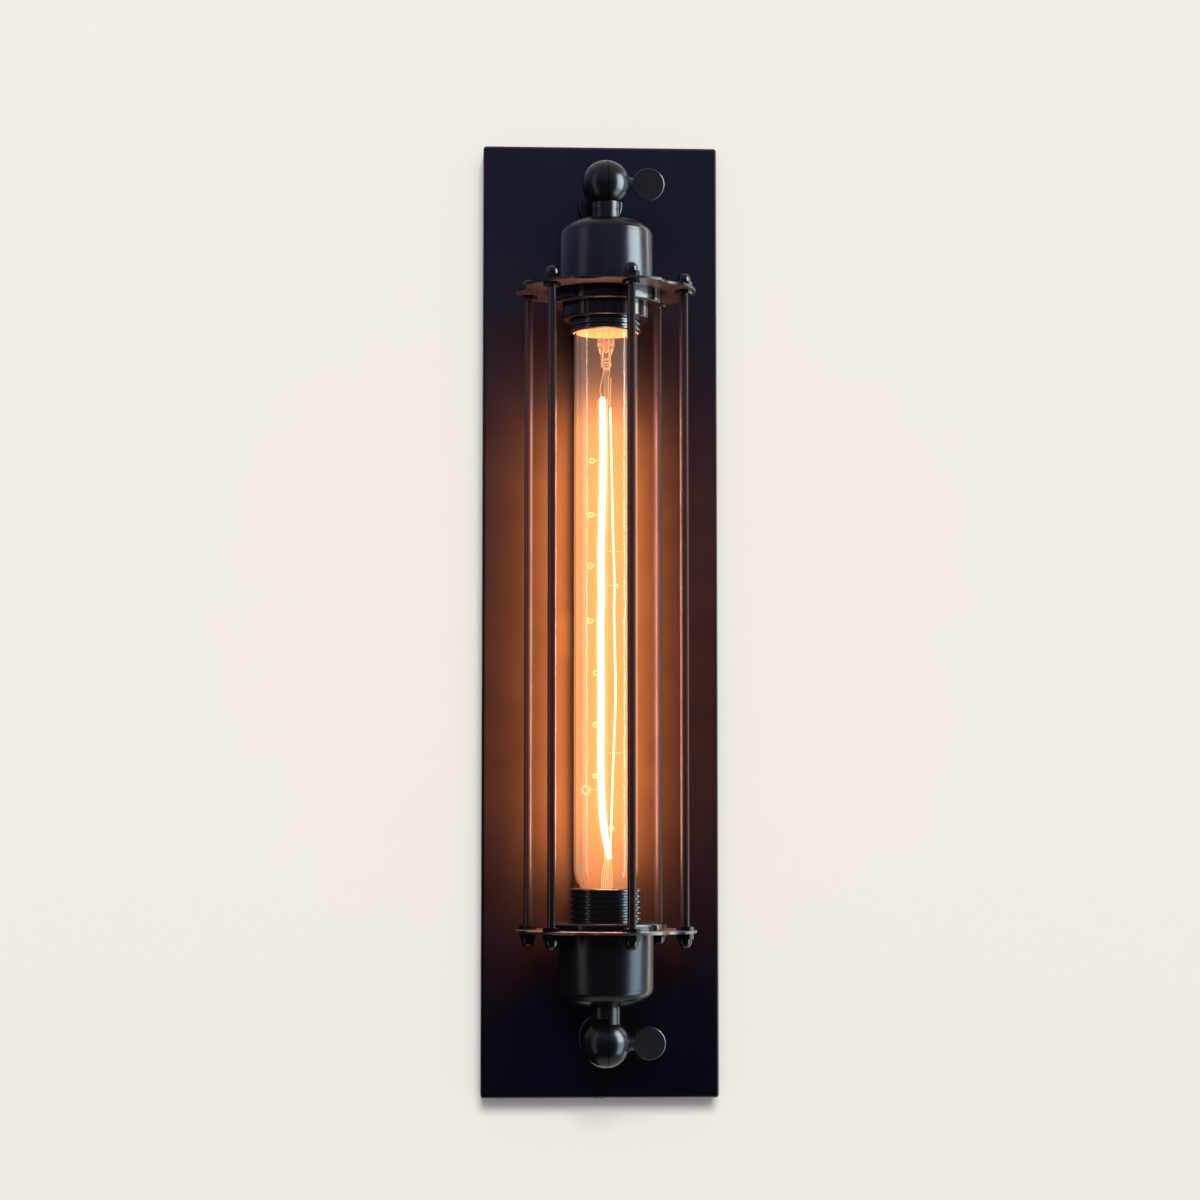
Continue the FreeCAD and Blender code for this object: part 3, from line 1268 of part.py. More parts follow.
def holder_terminals():
    """Two brass plates on the porcelain, their clamp screws, and the centre contact with its rivet."""
    top = CORE_TOP
    half = size.terminal_plate_width / 2
    plates = []
    spots = []
    for side in (-1, 1):
        x = side * size.terminal_offset
        plate = box((x - half, -half, top), (x + half, half, top + size.terminal_plate_height))
        hole = size.terminal_screw_diameter / 2 + size.thread_play
        plates.append(cut(plate, cylinder(hole, size.terminal_plate_height * 3, x, 0,
                                          top - size.terminal_plate_height)))
        spots.append((x, LAMP_Y, top + size.terminal_plate_height, *UPRIGHT))
    group = doc.addObject("Part::Compound", "terminal_plates")
    group.Links = plates
    keep(place(group, 0, LAMP_Y, 0), "terminal_plates")
    screw = slotted_screw("terminal_screw", size.terminal_head_diameter / 2, size.terminal_head_height,
                          size.terminal_screw_diameter / 2, size.terminal_screw_length,
                          size.small_slot_width, size.slot_depth)
    copies("terminal_screws", screw, spots)
    radius = size.terminal_screw_diameter / 2
    head = size.contact_head_diameter / 2
    low = BULB_TIP + size.contact_gap
    rivet_top = top + size.terminal_plate_height
    contact = turned_body("centre_contact", [
        (0, low), (head, low), (head, CAVITY_TOP), (radius, CAVITY_TOP), (radius, top),
        (head, top), (head, rivet_top), (0, rivet_top)])
    on_lamp(contact, "centre_contact", "upper")


def lamp_leads():
    """Leads from the knuckle's hollow down the neck to the holder's two terminals."""
    thick = size.lead_diameter.value
    way_x = LAMP_WAY_X.value - thick / 4
    start = (BALL_HEIGHT - size.ball_cavity_diameter / 2).value
    rest = (CORE_TOP + size.terminal_plate_height).value + thick / 2 + size.insert_play.value
    reach = (size.terminal_offset - size.terminal_screw_diameter / 2).value
    play = size.insert_play.value
    touch = reach - (size.terminal_head_diameter - size.terminal_screw_diameter).value / 2 - play
    apart = thick / 2 + play
    solids = []
    for side in (1, -1):
        y = side * apart
        route = [(way_x, y, start), (way_x, y, rest), (side * touch, y, rest)]
        points = [FreeCAD.Vector(*point) for point in route]
        solids.append(tube_along(points, thick, thick))
    shape_part("lamp_leads", solids, 0, LAMP_Y, 0)


# ---------------------------------------------------------------- bulb


def bulb_glass():
    """Clear tube with a round end, tapering to the neck inside the cap."""
    radius = size.bulb_diameter / 2
    inner = radius - size.glass_wall
    centre = BULB_END + radius
    neck = size.glass_neck_diameter / 2
    taper = CAP_EDGE - size.glass_taper
    neck_top = CAP_EDGE + size.glass_neck_length
    body = turned_body("bulb_glass", [
        (0, BULB_END), (radius, centre, radius, 1), (radius, taper), (neck, CAP_EDGE), (neck, neck_top),
        (neck - size.glass_wall, neck_top), (neck - size.glass_wall, CAP_EDGE), (inner, taper),
        (inner, centre), (0, centre - inner, inner, -1)])
    round_edges(body, size.glass_taper / 2, circles_at([(radius, taper)]))
    on_lamp(body, "bulb_glass", "upper")


def bulb_cap():
    """Screw cap: plain skirt, thread ridges and a shoulder that holds the black glass."""
    root_radius = size.edison_root / 2
    crest = size.edison_crest / 2
    skirt = size.cap_skirt_diameter / 2
    skirt_top = CAP_EDGE + size.cap_skirt_height
    inner = root_radius - size.cap_sheet
    pitch = size.edison_pitch
    corners = [(skirt - size.cap_sheet, CAP_EDGE), (skirt, CAP_EDGE), (skirt, skirt_top)]
    for turn in range(round(size.edison_turns.value)):
        rises = [skirt_top + pitch * (turn + share) for share in CAP_THREAD]
        corners += [(root_radius, rises[0]), (root_radius, rises[1]), (crest, rises[2]), (crest, rises[3])]
    thread_top = skirt_top + pitch * size.edison_turns
    cone = BULB_TIP - size.tip_height - size.insulator_height
    mouth = size.insulator_base_diameter / 2
    corners += [(root_radius, thread_top + size.cap_sheet), (mouth, cone), (mouth, cone - size.cap_sheet * 2),
                (inner, thread_top - size.cap_sheet), (inner, skirt_top),
                (skirt - size.cap_sheet, skirt_top - size.cap_sheet)]
    body = turned_body("bulb_cap", corners)
    on_lamp(body, "bulb_cap", "upper")


def bulb_tip():
    """Black glass cone at the cap's end, and the metal contact on it."""
    tip = size.tip_diameter / 2
    tip_base = BULB_TIP - size.tip_height
    cone = tip_base - size.insulator_height
    mouth = size.insulator_base_diameter / 2
    glass = turned_body("cap_insulator", [
        (0, cone - size.insulator_step), (mouth, cone - size.insulator_step), (mouth, cone),
        (tip, tip_base), (0, tip_base)])
    on_lamp(glass, "cap_insulator", "upper")
    contact = turned_body("cap_contact", [(0, tip_base), (tip, tip_base),
                                          (size.tip_face_diameter / 2, BULB_TIP), (0, BULB_TIP)])
    on_lamp(contact, "cap_contact", "upper")


# Where the filament runs, as shares of the bulb's radius sideways and to the back, and a share of the
# way from its upper loops to its lower ones.
FILAMENT_ROUTE = [
    (-0.16, -0.07, 0.0), (-0.15, -0.08, 0.5), (0.06, -0.10, 0.985), (0.09, 0.07, 1.0), (-0.04, 0.11, 0.55),
    (-0.09, 0.10, 0.015), (0.10, 0.06, 0.02), (0.21, -0.03, 0.26), (0.23, -0.04, 0.40), (0.35, -0.05, 0.58),
    (0.34, -0.05, 0.66), (0.28, -0.04, 0.86), (0.24, -0.03, 0.99), (0.13, 0.13, 1.0), (0.12, 0.17, 0.5),
    (0.08, 0.16, 0.0),
]
# Supports: a share of the same way, and the side of the cane that each one reaches to.
SUPPORT_SPOTS = [
    (0.14, -1), (0.256, -1), (0.366, -1), (0.44, 1), (0.484, -1), (0.617, -1), (0.706, -1), (0.845, -1),
    (0.93, 1),
]


def filament_point(x, y, share):
    radius = size.bulb_diameter.value / 2
    top = FILAMENT_TOP.value
    return FreeCAD.Vector(x * radius, y * radius, top + (FILAMENT_BOTTOM.value - top) * share)


def filament():
    """Four long runs of filament between the upper and lower loops."""
    points = [filament_point(*spot) for spot in FILAMENT_ROUTE]
    bend = size.stem_tube_diameter.value / 2
    shape_part("filament", [tube_along(points, size.filament_diameter.value, bend)], 0, LAMP_Y, 0)


def filament_supports():
    """Short wires out of the cane, each ending in a small loop beside the filament."""
    thick = size.support_diameter.value
    loop = size.support_loop_radius.value
    start = size.cane_diameter.value / 4
    reach = size.bulb_diameter.value / 4 - loop
    solids = []
    for share, side in SUPPORT_SPOTS:
        height = filament_point(0, 0, share).z
        wire = Part.makeCylinder(thick / 2, reach - start, FreeCAD.Vector(side * start, 0, height),
                                 FreeCAD.Vector(side, 0, 0))
        ring = Part.makeTorus(loop, thick / 2, FreeCAD.Vector(side * (reach + loop), 0, height),
                              FreeCAD.Vector(0, 1, 0))
        solids.append(wire.fuse(ring))
    return shape_part("filament_supports", solids, 0, LAMP_Y, 0)


def bulb_leads():
    """Two wires from the stem through the pressed glass to the ends of the filament."""
    thick = size.bulb_lead_diameter.value
    apart = size.pinch_diameter.value / 4
    inside = (STEM_TUBE_END + size.stem_tube_diameter * 2).value
    below = PINCH_END.value - thick * 2
    solids = []
    for side, spot in ((-1, FILAMENT_ROUTE[0]), (1, FILAMENT_ROUTE[-1])):
        goal = filament_point(*spot)
        route = [FreeCAD.Vector(side * apart, 0, inside), FreeCAD.Vector(side * apart, 0, below),
                 FreeCAD.Vector(goal.x, goal.y, goal.z + size.filament_diameter.value / 2)]
        solids.append(tube_along(route, thick, thick * 3))
    return shape_part("bulb_leads", solids, 0, LAMP_Y, 0)


def bulb_stem(wires):
    """Glass stem: flare sealed to the neck, hollow tube, pressed end and cane, closed round its wires."""
    top = CAP_EDGE + size.glass_neck_length
    flare = size.glass_neck_diameter / 2 - size.glass_wall
    tube = size.stem_tube_diameter / 2
    wall = size.glass_wall
    pinch = size.pinch_diameter / 2
    cane = size.cane_diameter / 2
    low = top - size.stem_flare_height
    shoulder = STEM_TUBE_END + tube
    body = turned_body("glass_stem", [
        (0, CANE_END), (cane, CANE_END), (cane, PINCH_END), (pinch, PINCH_END + pinch),
        (pinch, STEM_TUBE_END - pinch), (tube, shoulder), (tube, low), (flare, top - wall), (flare, top),
        (flare - wall, top), (tube - wall, low), (tube - wall, shoulder), (0, STEM_TUBE_END)])
    place(body, 0, LAMP_Y)
    keep(cut(body, *wires), "bulb_stem")


def check_all():
    """Stops if an object of the document failed or a sub-part has no valid shape."""
    for thing in doc.Objects:
        for word in ("Invalid", "Error"):
            if word in thing.State:
                raise RuntimeError(f"{thing.Label} is in state {word}")
    for piece in sub_parts:
        if piece.Shape.isNull() or not piece.Shape.isValid():
            raise RuntimeError(f"{piece.Label} has no valid shape")


def write_all():
    os.makedirs("parts", exist_ok=True)
    for piece in sub_parts:
        piece.Shape.exportStep(f"parts/{piece.Label}.step")
        bounds = piece.Shape.BoundBox
        print(f"{piece.Label:22s} solids {len(piece.Shape.Solids)} volume {piece.Shape.Volume:10.1f}"
              f" z {bounds.ZMin:8.2f} {bounds.ZMax:8.2f} y {bounds.YMin:8.2f} {bounds.YMax:8.2f}")
    print(len(sub_parts), "sub-parts")


back_pan()
wall_bracket()
cover_screws()
stem_set()
terminal_block()
earthing()
wall_leads()
knuckles()
thumb_screws()
for end_name, _ in ENDS:
    cup(end_name)
    cage_ring(end_name)
cage_rods()
cage_nuts()
lampholder_sleeve()
holder_cap()
end_sleeve()
sleeve_nuts()
lamp_nipples()
porcelain_core()
screw_shell()
holder_terminals()
lamp_leads()
bulb_glass()
bulb_cap()
bulb_tip()
filament()
bulb_stem([filament_supports(), bulb_leads()])
doc.recompute()
check_all()
write_all()
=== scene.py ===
"""Looks of the cage wall light: finishes, cups, the bulb's wires, studio and camera round the CAD model."""

import json
import math

import bmesh
import bpy
from mathutils import Euler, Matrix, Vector


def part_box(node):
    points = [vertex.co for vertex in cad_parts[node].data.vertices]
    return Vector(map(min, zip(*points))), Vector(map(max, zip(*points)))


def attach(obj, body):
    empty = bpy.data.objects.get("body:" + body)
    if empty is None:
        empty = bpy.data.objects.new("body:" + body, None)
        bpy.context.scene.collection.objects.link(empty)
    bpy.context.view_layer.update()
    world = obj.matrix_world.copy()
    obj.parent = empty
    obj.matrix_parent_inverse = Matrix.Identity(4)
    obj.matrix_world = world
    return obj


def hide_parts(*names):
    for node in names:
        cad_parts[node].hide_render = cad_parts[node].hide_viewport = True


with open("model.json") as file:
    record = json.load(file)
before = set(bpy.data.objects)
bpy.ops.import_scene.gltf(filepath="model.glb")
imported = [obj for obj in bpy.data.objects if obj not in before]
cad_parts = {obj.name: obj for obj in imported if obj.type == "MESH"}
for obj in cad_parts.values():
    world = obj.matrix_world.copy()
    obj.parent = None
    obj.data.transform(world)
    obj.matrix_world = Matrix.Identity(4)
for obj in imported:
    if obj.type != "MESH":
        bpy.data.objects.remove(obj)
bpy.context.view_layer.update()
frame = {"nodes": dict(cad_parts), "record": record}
nodes = frame["nodes"]

MM = 0.001
# The lamp's axis is upright and stands this far in front of the pan's back, which is the plane y = 0.
LAMP_Y = -72 * MM
WALL_COLOUR = (0.896, 0.855, 0.800)
BLACK = (0, 0, 0)


def add_object(name, data):
    """A new object in the scene's own collection."""
    item = bpy.data.objects.new(name, data)
    bpy.context.scene.collection.objects.link(item)
    return item


# ------------------------------------------------------------------ camera

CAMERA_PLACE = (-79 * MM, -1479 * MM, -106.4 * MM)
CAMERA_UP = 4.49
CAMERA_RIGHT = 3.1


def make_camera():
    """Camera of the photograph: a long lens, a little below the middle and to the left; angles in degrees."""
    data = bpy.data.cameras.new("photo_camera")
    data.lens = 90
    data.sensor_width = 36
    data.clip_start = 0.05
    data.clip_end = 50
    camera = add_object("photo_camera", data)
    camera.location = CAMERA_PLACE
    camera.rotation_euler = Euler((math.radians(90 + CAMERA_UP), 0, math.radians(-CAMERA_RIGHT)), "XYZ")
    bpy.context.scene.camera = camera
    bpy.context.scene.view_settings.view_transform = "Standard"


# ------------------------------------------------------------------ materials


class Graph:
    """Builds a node material around one Principled shader. In inputs, an underscore stands for a space."""

    def __init__(self, name, base, roughness, metallic=0.0, specular=0.5):
        self.material = bpy.data.materials.new(name)
        self.material.use_nodes = True
        self.tree = self.material.node_tree
        self.tree.nodes.clear()
        self.output = self.add("ShaderNodeOutputMaterial")
        self.shader = self.add("ShaderNodeBsdfPrincipled")
        self.link(self.shader, "BSDF", self.output, "Surface")
        self.set(Base_Color=(*base, 1), Roughness=roughness, Metallic=metallic, Specular_IOR_Level=specular)
        self.coordinates = None

    def add(self, kind, **inputs):
        """A new node with values for some of its inputs."""
        node = self.tree.nodes.new(kind)
        for name, value in inputs.items():
            node.inputs[name.replace("_", " ")].default_value = value
        return node

    def set(self, **inputs):
        """Values for some of the shader's inputs."""
        for name, value in inputs.items():
            self.shader.inputs[name.replace("_", " ")].default_value = value

    def link(self, source, output, target, socket):
        self.tree.links.new(source.outputs[output], target.inputs[socket])

    def place(self, stretch=(1, 1, 1)):
        """Object coordinates in metres, stretched."""
        if self.coordinates is None:
            self.coordinates = self.add("ShaderNodeTexCoord")
        mapping = self.add("ShaderNodeMapping", Scale=stretch)
        self.link(self.coordinates, "Object", mapping, "Vector")
        return mapping

    def noise(self, scale, detail=3.0, stretch=(1, 1, 1)):
        node = self.add("ShaderNodeTexNoise", Scale=scale, Detail=detail)
        self.link(self.place(stretch), "Vector", node, "Vector")
        return node

    def spread(self, source, output, low, high, start=0.3, end=0.7):
        """Maps start..end, by default a texture's middle range, to low..high."""
        node = self.add("ShaderNodeMapRange", From_Min=start, From_Max=end, To_Min=low, To_Max=high)
        self.link(source, output, node, "Value")
        return node

    def rise(self, foot, top):
        """Grows from 0 at the height foot to 1 at the height top, both in metres."""
        split = self.add("ShaderNodeSeparateXYZ")
        self.link(self.place(), "Vector", split, "Vector")
        return self.spread(split, "Z", 0.0, 1.0, foot, top)

    def ramp(self, source, output, stops):
        """Turns a value into a colour; the stops are (position, colour)."""
        node = self.add("ShaderNodeValToRGB")
        elements = node.color_ramp.elements
        for element, (position, colour) in zip((elements[0], elements[1]), (stops[0], stops[-1])):
            element.position = position
            element.color = (*colour, 1)
        for position, colour in stops[1:-1]:
            elements.new(position).color = (*colour, 1)
        self.link(source, output, node, "Fac")
        return node

    def vary_roughness(self, scale, low, high, stretch=(1, 1, 1)):
        node = self.spread(self.noise(scale, stretch=stretch), "Fac", low, high)
        self.link(node, "Result", self.shader, "Roughness")

    def vary_colour(self, scale, first, second):
        node = self.ramp(self.noise(scale), "Fac", [(0.35, first), (0.65, second)])
        self.link(node, "Color", self.shader, "Base Color")

    def bump(self, scale, height, stretch=(1, 1, 1)):
        node = self.add("ShaderNodeBump", Strength=1.0, Distance=height)
        self.link(self.noise(scale, 2.0, stretch), "Fac", node, "Height")
        self.link(node, "Normal", self.shader, "Normal")

    def glow(self, colour, strength=1.0):
        """Emission that shows but isn't sampled as a light."""
        self.set(Emission_Color=(*colour, 1), Emission_Strength=strength)
        self.material.cycles.emission_sampling = "NONE"

    def glow_by_height(self, foot, top, stops):
        """Emission whose colour changes with the height."""
        self.glow(BLACK)
        self.link(self.ramp(self.rise(foot, top), "Result", stops), "Color", self.shader, "Emission Color")


# Paints: colour, lowest and highest roughness, specular level.
PAINTS = {
    "pan_paint": ((0.0003, 0.0006, 0.0040), 0.32, 0.345, 0.42),
    "satin_black": ((0.0028, 0.0028, 0.0040), 0.22, 0.28, 0.20),
    "ring_black": ((0.0032, 0.0030, 0.0046), 0.28, 0.36, 0.16),
    # Lighter, warmer copy of the ring paint: painted lamp light for the lower ring.
    "ring_painted_light": ((0.006, 0.0045, 0.0045), 0.30, 0.36, 0.5),
    "rod_black": ((0.004, 0.003, 0.0035), 0.14, 0.20, 0.35),
    "nut_black": ((0.002, 0.002, 0.003), 0.12, 0.18, 0.22),
    "sleeve_black": ((0.004, 0.0035, 0.004), 0.16, 0.22, 0.35),
    "thumb_black": ((0.005, 0.005, 0.006), 0.30, 0.38, 0.40),
    "black_screw": ((0.008, 0.008, 0.009), 0.30, 0.40, 0.4),
}
# Metals: colour, lowest and highest roughness, stretch of the drawn marks.
METALS = {
    "zinc_plate": ((0.62, 0.62, 0.60), 0.28, 0.42, (1, 1, 0.15)),
    "brass": ((0.74, 0.55, 0.26), 0.22, 0.34, (1, 1, 1)),
    "tinned_copper": ((0.70, 0.66, 0.60), 0.30, 0.45, (1, 1, 1)),
    "cap_metal": ((0.70, 0.60, 0.38), 0.24, 0.36, (1, 1, 1)),
    "tip_metal": ((0.66, 0.66, 0.64), 0.35, 0.5, (1, 1, 1)),
}
# Plastics, sleeving and glazes: colour, roughness, fineness of the grain.
MOULDINGS = {
    "terminal_plastic": ((0.80, 0.79, 0.74), 0.45, 500),
    "earth_insulation": ((0.06, 0.32, 0.07), 0.5, 500),
    "live_insulation": ((0.18, 0.07, 0.03), 0.5, 500),
    "neutral_insulation": ((0.03, 0.10, 0.40), 0.5, 500),
    "heat_sleeving": ((0.72, 0.70, 0.62), 0.8, 1500),
    "porcelain": ((0.82, 0.81, 0.76), 0.18, 120),
    "cap_glass": ((0.012, 0.009, 0.016), 0.12, 200),
}
# The filament's own glow, painted glow on the wires, beads and liner that its light falls on, and painted
# glare round the strands: colour, strength, alpha.
GLOWS = {
    "liner_painted_glow": ((1.0, 0.20, 0.05), 0.34, 1.0),
    "support_wire": ((1.0, 0.55, 0.20), 1.1, 1.0),
    "lead_wire": ((1.0, 0.48, 0.18), 0.55, 1.0),
    "eye_wire_painted_glow": ((1.0, 0.78, 0.50), 1.9, 1.0),
    "stem_bead": ((0.85, 0.36, 0.14), 0.45, 1.0),
    "glowing_filament": ((1.0, 0.86, 0.62), 4.0, 1.0),
    "glow_near": ((1.0, 0.70, 0.36), 1.5, 0.30),
    "glow_far": ((1.0, 0.40, 0.14), 1.0, 0.08),
}

# Painted glare of the lit filament on the rods, as emission: its height each way from the middle, and its
# colour.
PAINTED_GLARE_REACH = 150 * MM
PAINTED_ROD_GLARE = (0.034, 0.009, 0.007)

# Painted glow on the tube's glass, for the filament's light in it: the lit part, from its rounded foot to the
# sleeve, and its colour from foot to top.
TUBE_FOOT = -137 * MM
TUBE_TOP = 141 * MM
TUBE_PAINTED_GLOW = [
    (0.0, (0.10, 0.040, 0.016)), (0.07, (0.15, 0.064, 0.028)), (0.16, (0.235, 0.096, 0.035)),
    (0.70, (0.235, 0.098, 0.036)), (0.80, (0.215, 0.094, 0.036)), (0.875, (0.060, 0.032, 0.021)),
    (0.91, (0.036, 0.022, 0.017)), (1.0, (0.030, 0.018, 0.014)),
]


def paint(name, base, low, high, specular):
    """Stoved paint: faint orange peel and a little patchy gloss."""
    graph = Graph(name, base, (low + high) / 2, specular=specular)
    graph.vary_roughness(60, low, high)
    lighter = tuple(value * 1.25 + 0.0004 for value in base)
    graph.vary_colour(35, base, lighter)
    graph.bump(700, 0.006 * MM)
    return graph


def metal(name, base, low, high, stretch):
    """Bare or plated metal with fine drawn marks."""
    marks = 400
    graph = Graph(name, base, (low + high) / 2, metallic=1.0)
    graph.vary_roughness(marks, low, high, stretch)
    darker = tuple(value * 0.82 for value in base)
    graph.vary_colour(90, darker, base)
    graph.bump(marks, 0.004 * MM, stretch)
    return graph


def moulded(name, base, roughness, grain):
    """Plastic, rubber or glaze with a slight texture."""
    graph = Graph(name, base, roughness)
    graph.vary_roughness(80, roughness * 0.85, roughness * 1.15)
    darker = tuple(value * 0.9 for value in base)
    graph.vary_colour(60, darker, base)
    graph.bump(grain, 0.005 * MM)
    return graph


def glowing(name, colour, strength, alpha):
    """Emission on a dull wire, or on the air round it: the filament's own glow, or painted glow and glare for
    its light.
    """
    graph = Graph(name, (0.4, 0.2, 0.1), 0.6)
    graph.glow(colour, strength)
    graph.set(Alpha=alpha)
    graph.bump(900, 0.01 * MM)
    return graph


def tube_glass():
    """Clear amber glass with the filament's glow painted on as emission, strongest in the middle of its
    width.
    """
    graph = Graph("bulb_glass", (1.0, 0.86, 0.72), 0.035)
    # Lower than real glass, so that the tube's back doesn't mirror the strands.
    graph.set(Transmission_Weight=1.0, IOR=1.18)
    graph.glow_by_height(TUBE_FOOT, TUBE_TOP, TUBE_PAINTED_GLOW)
    # Painted glow: weaker where the glass is seen edge-on.
    edge = graph.add("ShaderNodeLayerWeight", Blend=0.5)
    fade = graph.spread(edge, "Facing", 1.0, 0.3, 0.55, 0.97)
    graph.link(fade, "Result", graph.shader, "Emission Strength")
    return graph


def stem_glass():
    """Clear glass of the bulb's stem, with a faint warm glow painted on for the filament's light from beside.
    """
    graph = Graph("stem_glass", (1.0, 0.92, 0.84), 0.03)
    graph.set(Transmission_Weight=1.0, IOR=1.4, Emission_Color=(0.09, 0.040, 0.018, 1), Emission_Strength=1.0)
    graph.bump(300, 0.02 * MM)
    return graph


def make_materials():
    """Every finish by name: those of the material slots, and those that only this script asks for."""
    graphs = {"bulb_glass": tube_glass(), "stem_glass": stem_glass()}
    for make, looks in ((paint, PAINTS), (metal, METALS), (moulded, MOULDINGS), (glowing, GLOWS)):
        for name, look in looks.items():
            graphs[name] = make(name, *look)
    # Painted glare: the rods glow warm round the filament's height.
    painted_glare_stops = [(0.0, BLACK), (0.3, PAINTED_ROD_GLARE), (0.75, PAINTED_ROD_GLARE), (1.0, BLACK)]
    graphs["rod_black"].glow_by_height(-PAINTED_GLARE_REACH, PAINTED_GLARE_REACH, painted_glare_stops)
    return {name: graph.material for name, graph in graphs.items()}


def dress_nodes(materials):
    """Gives every CAD node the finish of its material slot, and lets the bulb's light through its glass."""
    slots = {item["node"]: item["material_slot"] for item in frame["record"]["subparts"]}
    for name, node in nodes.items():
        node.data.materials.clear()
        node.data.materials.append(materials[slots[name]])
    # The lower ring catches more of the lamp's light than the upper one; a lighter, warmer copy of the ring
    # paint paints that light on.
    nodes["lower_cage_ring"].data.materials[0] = materials["ring_painted_light"]
    for name in ("bulb_glass", "bulb_stem"):
        nodes[name].visible_shadow = False
        nodes[name].visible_diffuse = False


# ------------------------------------------------------------------ turned pieces

TURN_SEGMENTS = 128
SHARP_ANGLE = 24
DOME_STEPS = 22
# Angle of the dome's ellipse where it leaves the turned-in edge, in radians.
DOME_START = 0.10


def turned_piece(name, profile, material, body):
    """A closed profile of (radius, height) in metres, turned about the lamp's axis."""
    mesh = bmesh.new()
    turns = [math.tau * index / TURN_SEGMENTS for index in range(TURN_SEGMENTS)]
    loops = []
    for radius, height in profile:
        loops.append([mesh.verts.new((radius * math.cos(turn), LAMP_Y + radius * math.sin(turn), height))
                      for turn in turns])
    for lower, upper in zip(loops, loops[1:] + loops[:1]):
        for index in range(TURN_SEGMENTS):
            after = (index + 1) % TURN_SEGMENTS
            mesh.faces.new((lower[index], lower[after], upper[after], upper[index]))
    bmesh.ops.recalc_face_normals(mesh, faces=mesh.faces)
    data = bpy.data.meshes.new(name)
    mesh.to_mesh(data)
    mesh.free()
    data.materials.append(material)
    data.shade_smooth()
    data.set_sharp_from_angle(angle=math.radians(SHARP_ANGLE))
    piece = add_object(name, data)
    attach(piece, body)
    return piece


def dome_arc(reach, start, rise, last):
    """Ellipse of a dome, from the side at the height start to the radius last."""
    finish = math.acos(last / reach)
    angles = [DOME_START + (finish - DOME_START) * step / DOME_STEPS for step in range(DOME_STEPS + 1)]
    return [(reach * math.cos(angle), start + rise * math.sin(angle)) for angle in angles]


def make_cup(end, materials):
    """Spun cup with a full dome: straight side, turned-in edge, then part of an ellipse to the neck."""
    low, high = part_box(f"{end}_cup")
    radius = (high[0] - low[0]) / 2
    rim, top = (low[2], high[2]) if end == "upper" else (high[2], low[2])
    way = 1 if top > rim else -1
    wall = 1.2 * MM
    edge = 0.35 * MM
    dome = 8.2 * MM
    neck = 6.7 * MM
    hole = 5.2 * MM
    side = abs(top - rim) - dome
    full = dome / math.sin(math.acos(neck / (radius - edge)))

    outer = [(radius, 0), (radius, side - edge), (radius - edge * 0.3, side - edge * 0.3)]
    outer += [(radius - edge, side)] + dome_arc(radius - edge, side, full, neck)
    inner = dome_arc(radius - wall - edge, side - wall, full, hole + 0.5 * MM)
    profile = outer + [(hole, side + dome), (hole, side + dome - wall)] + inner[::-1] + [(radius - wall, 0)]
    profile = [(reach, rim + way * height) for reach, height in profile]
    piece = turned_piece(f"{end}_spun_cup", profile, materials["satin_black"], "lamp")
    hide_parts(f"{end}_cup")


def make_painted_sleeve_glow(materials):
    """Thin glowing sheet inside the upper sleeve's mouth, round the top of the tube: the lamp's warm light on
    the sleeve's inside, painted on.
    """
    gap = 0.3 * MM
    wall = 0.12 * MM
    sleeve_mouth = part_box("lampholder_sleeve")[0][2]
    foot = sleeve_mouth + 0.2 * MM
    top = sleeve_mouth + 9 * MM
    glass_low, glass_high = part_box("bulb_glass")
    radius = (glass_high[0] - glass_low[0]) / 2 + gap
    profile = [(radius, foot), (radius, top), (radius + wall, top), (radius + wall, foot)]
    turned_piece("sleeve_painted_glow", profile, materials["liner_painted_glow"], "lamp")


# ------------------------------------------------------------------ the bulb's wires

# All points below are (sideways, to the back, up) in millimetres from the middle of the bulb's axis.
MAIN_STRAND = [
    (-1.8, -0.9, 100.7), (-1.75, -0.9, 99.9), (-1.7, -0.9, 98.5), (-1.5, -1.0, 84), (-1.4, -1.2, 70.2),
    (-1.9, -1.3, 44.5), (-2.5, -1.3, 27), (-2.1, -1.3, 4), (-2.7, -1.4, -7), (-2.4, -1.4, -29.7),
    (-2.3, -1.4, -47.6), (-2.5, -1.4, -78.5), (-1.8, -1.4, -96.8), (-0.3, -1.2, -108.5), (1.7, -0.8, -117.3),
]
SECOND_STRAND = [
    (2.0, -0.8, 95.4), (2.6, -0.9, 70), (3.1, -1.0, 42.1), (3.3, -1.0, 34.5), (4.1, -1.0, 10.9),
    (3.7, -1.0, 0), (4.4, -0.9, -31.1), (4.4, -0.9, -47.6), (3.1, -0.8, -78.5), (1.9, -0.6, -117.3),
]
BACK_STRANDS = [[(x + 0.2, y + 3.0, z) for x, y, z in strand] for strand in (MAIN_STRAND, SECOND_STRAND)]
# The main strand's own coil starts below its tapered tip.
TIP_POINTS = 2
# Eyes at the ends of the support wires: sideways, up, radius.
EYES = [
    (-6.6, 70.2, 1.2), (-7.1, 44.5, 1.2), (-7.4, 20.3, 1.3), (-7.4, -5.7, 1.2), (-4.9, -30.2, 1.1),
    (-5.2, -54.6, 1.1), (-5.3, -78.5, 1.0), (-9.4, -85.1, 2.1), (4.9, 10.9, 0.9), (2.6, -103.0, 1.0),
]
EYE_DEPTH = -0.6
# Heights of the two supports on the right that end without an eye.
BARE_SUPPORTS = (27.2, -67.8)
